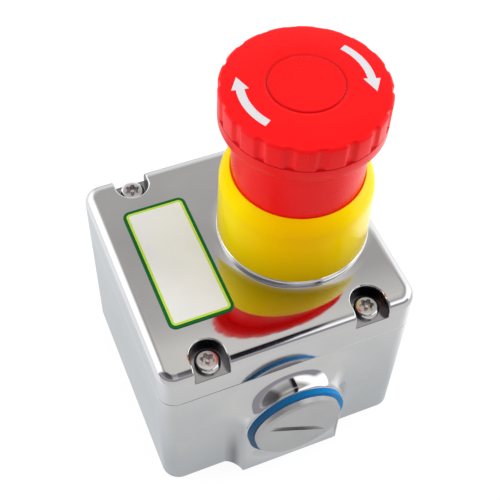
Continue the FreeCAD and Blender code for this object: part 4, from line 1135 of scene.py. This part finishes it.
base_ends = [on_print(SHAFT_RADIUS + side * SHAFT_WIDTH / 2, BASE_ANGLE) for side in (-1, 1)]
pick(arrow, "EDGE", lambda place: any(near(place, end) for end in base_ends))
bpy.ops.mesh.extrude_region_move()
draw_in(BARB_WIDTH / SHAFT_WIDTH, on_print(SHAFT_RADIUS, BASE_ANGLE), axis_place.z)
bpy.ops.mesh.extrude_region_move()
bpy.ops.mesh.select_mode(type="VERT")
bpy.ops.mesh.merge(type="CENTER")
bpy.ops.transform.translate(value=on_print(TIP_RADIUS, TIP_ANGLE) - on_print(SHAFT_RADIUS, BASE_ANGLE))
face_outwards()
if sum(face.normal.z for face in arrow.data.polygons) < 0:
    arrow.data.flip_normals()
apply_modifier(
    arrow, "SHRINKWRAP", target=head, wrap_method="PROJECT", use_project_z=True,
    use_negative_direction=True, use_positive_direction=False, offset=PRINT_LIFT,
)
apply_modifier(arrow, "SOLIDIFY", thickness=PRINT_THICKNESS, offset=0.0)
arrow_top = max(v.co.z for v in arrow.data.vertices)
print("arrow:", len(arrow.data.polygons), "faces, top at", in_mm(arrow_top), "mm")

# %% [markdown]
# The ink is matt white with a trace of the red showing through where the print is thin. The second arrow is
# the first one turned half round. Both ride on the button, so they turn and sink with it.

# %% Ink, and the second arrow
INK_FULL, INK_WORN = (0.71, 0.69, 0.72, 1.0), (0.68, 0.56, 0.58, 1.0)
ink = Finish("white_print")
thin = ink.noise(1800.0, 4.0)
ink.feed(
    Base_Color=ink.mix(ink.ramp(thin, 0.60, 0.80), INK_FULL, INK_WORN),
    Roughness=ink.ramp(thin, 0.3, 0.7, 0.40, 0.52),
    Normal=ink.bump(thin, 0.006 * MM),
)
paint(arrow, ink)
arrows = [arrow, copy_of(arrow, "turn_arrow_left", about(axis_place, 180.0))]
for piece in arrows:
    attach(piece, "button")
deselect_all()
print("arrows:", [piece.name for piece in arrows])

# %% [markdown]
# The label is a thin plate with round corners, stuck on the lid beside the button. It is left bare, with
# only its green border and the yellow-green line inside it. A plate this thin starts as a cube at its final
# size. Its upright edges are bevelled round, and two insets of the top face leave a ring of faces for the
# border, a ring for the line, and the field in the middle.

# %% Label plate
LABEL_LOW = Vector((-27.6, -19.2)) * MM
LABEL_HIGH = Vector((-10.3, 19.5)) * MM
LABEL_THICK, LABEL_CORNER = 0.25 * MM, 2.0 * MM
BORDER = 0.85 * MM
LINE = 0.65 * MM
lid_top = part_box("lid")[1].z
middle = (LABEL_LOW + LABEL_HIGH) / 2
label_size = LABEL_HIGH - LABEL_LOW
bpy.ops.mesh.primitive_cube_add(size=1.0, location=(middle.x, middle.y, lid_top + LABEL_THICK / 2))
label = bpy.context.object
label.scale = (label_size.x, label_size.y, LABEL_THICK)
settle(label, "label_plate")


def stands_up(edge):
    first, second = [label.data.vertices[i].co for i in edge.vertices]
    return abs(first.z - second.z) > TINY


choose(label, "EDGE", [edge for edge in label.data.edges if stands_up(edge)])
bpy.ops.mesh.bevel(offset=LABEL_CORNER, segments=8, affect="EDGES")
pick(label, "FACE", lambda place, normal: faces_up(normal))
bpy.ops.mesh.inset(thickness=BORDER)
bpy.ops.mesh.inset(thickness=LINE)
leave_edit_mode()
print("label:", [in_mm(side) for side in label_size], "mm,", len(label.data.polygons), "faces")

# %% Label inks
INK_SKIN = (0.30, 0.42, 2400.0, 0.004 * MM)
LABEL_INKS = (
    ("label_field", (0.71, 0.74, 0.73, 1.0), (0.78, 0.81, 0.80, 1.0), 0.5),
    ("label_border_green", (0.0, 0.10, 0.018, 1.0), (0.0, 0.13, 0.025, 1.0), 0.15),
    ("label_line_lime", (0.46, 0.66, 0.05, 1.0), (0.54, 0.72, 0.08, 1.0), 0.2),
)
FIELD_INK, BORDER_INK, LINE_INK = range(3)
inks = []
for name, dark, light, shine in LABEL_INKS:
    inks.append(moulding(name, dark, light, INK_SKIN, Specular_IOR_Level=shine))
paint(label, *inks)


def from_edge(place):
    """How far a face's middle lies inside the label's edge."""
    return min(label_size.x / 2 - abs(place.x - middle.x), label_size.y / 2 - abs(place.y - middle.y))


for face in label.data.polygons:
    face.material_index = BORDER_INK
    if faces_up(face.normal) and len(face.vertices) > 4:
        face.material_index = FIELD_INK
    elif faces_up(face.normal) and from_edge(face.center) > BORDER * 0.95:
        face.material_index = LINE_INK
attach(label, "enclosure")
deselect_all()
print("label faces by ink:", [sum(f.material_index == i for f in label.data.polygons) for i in range(3)])
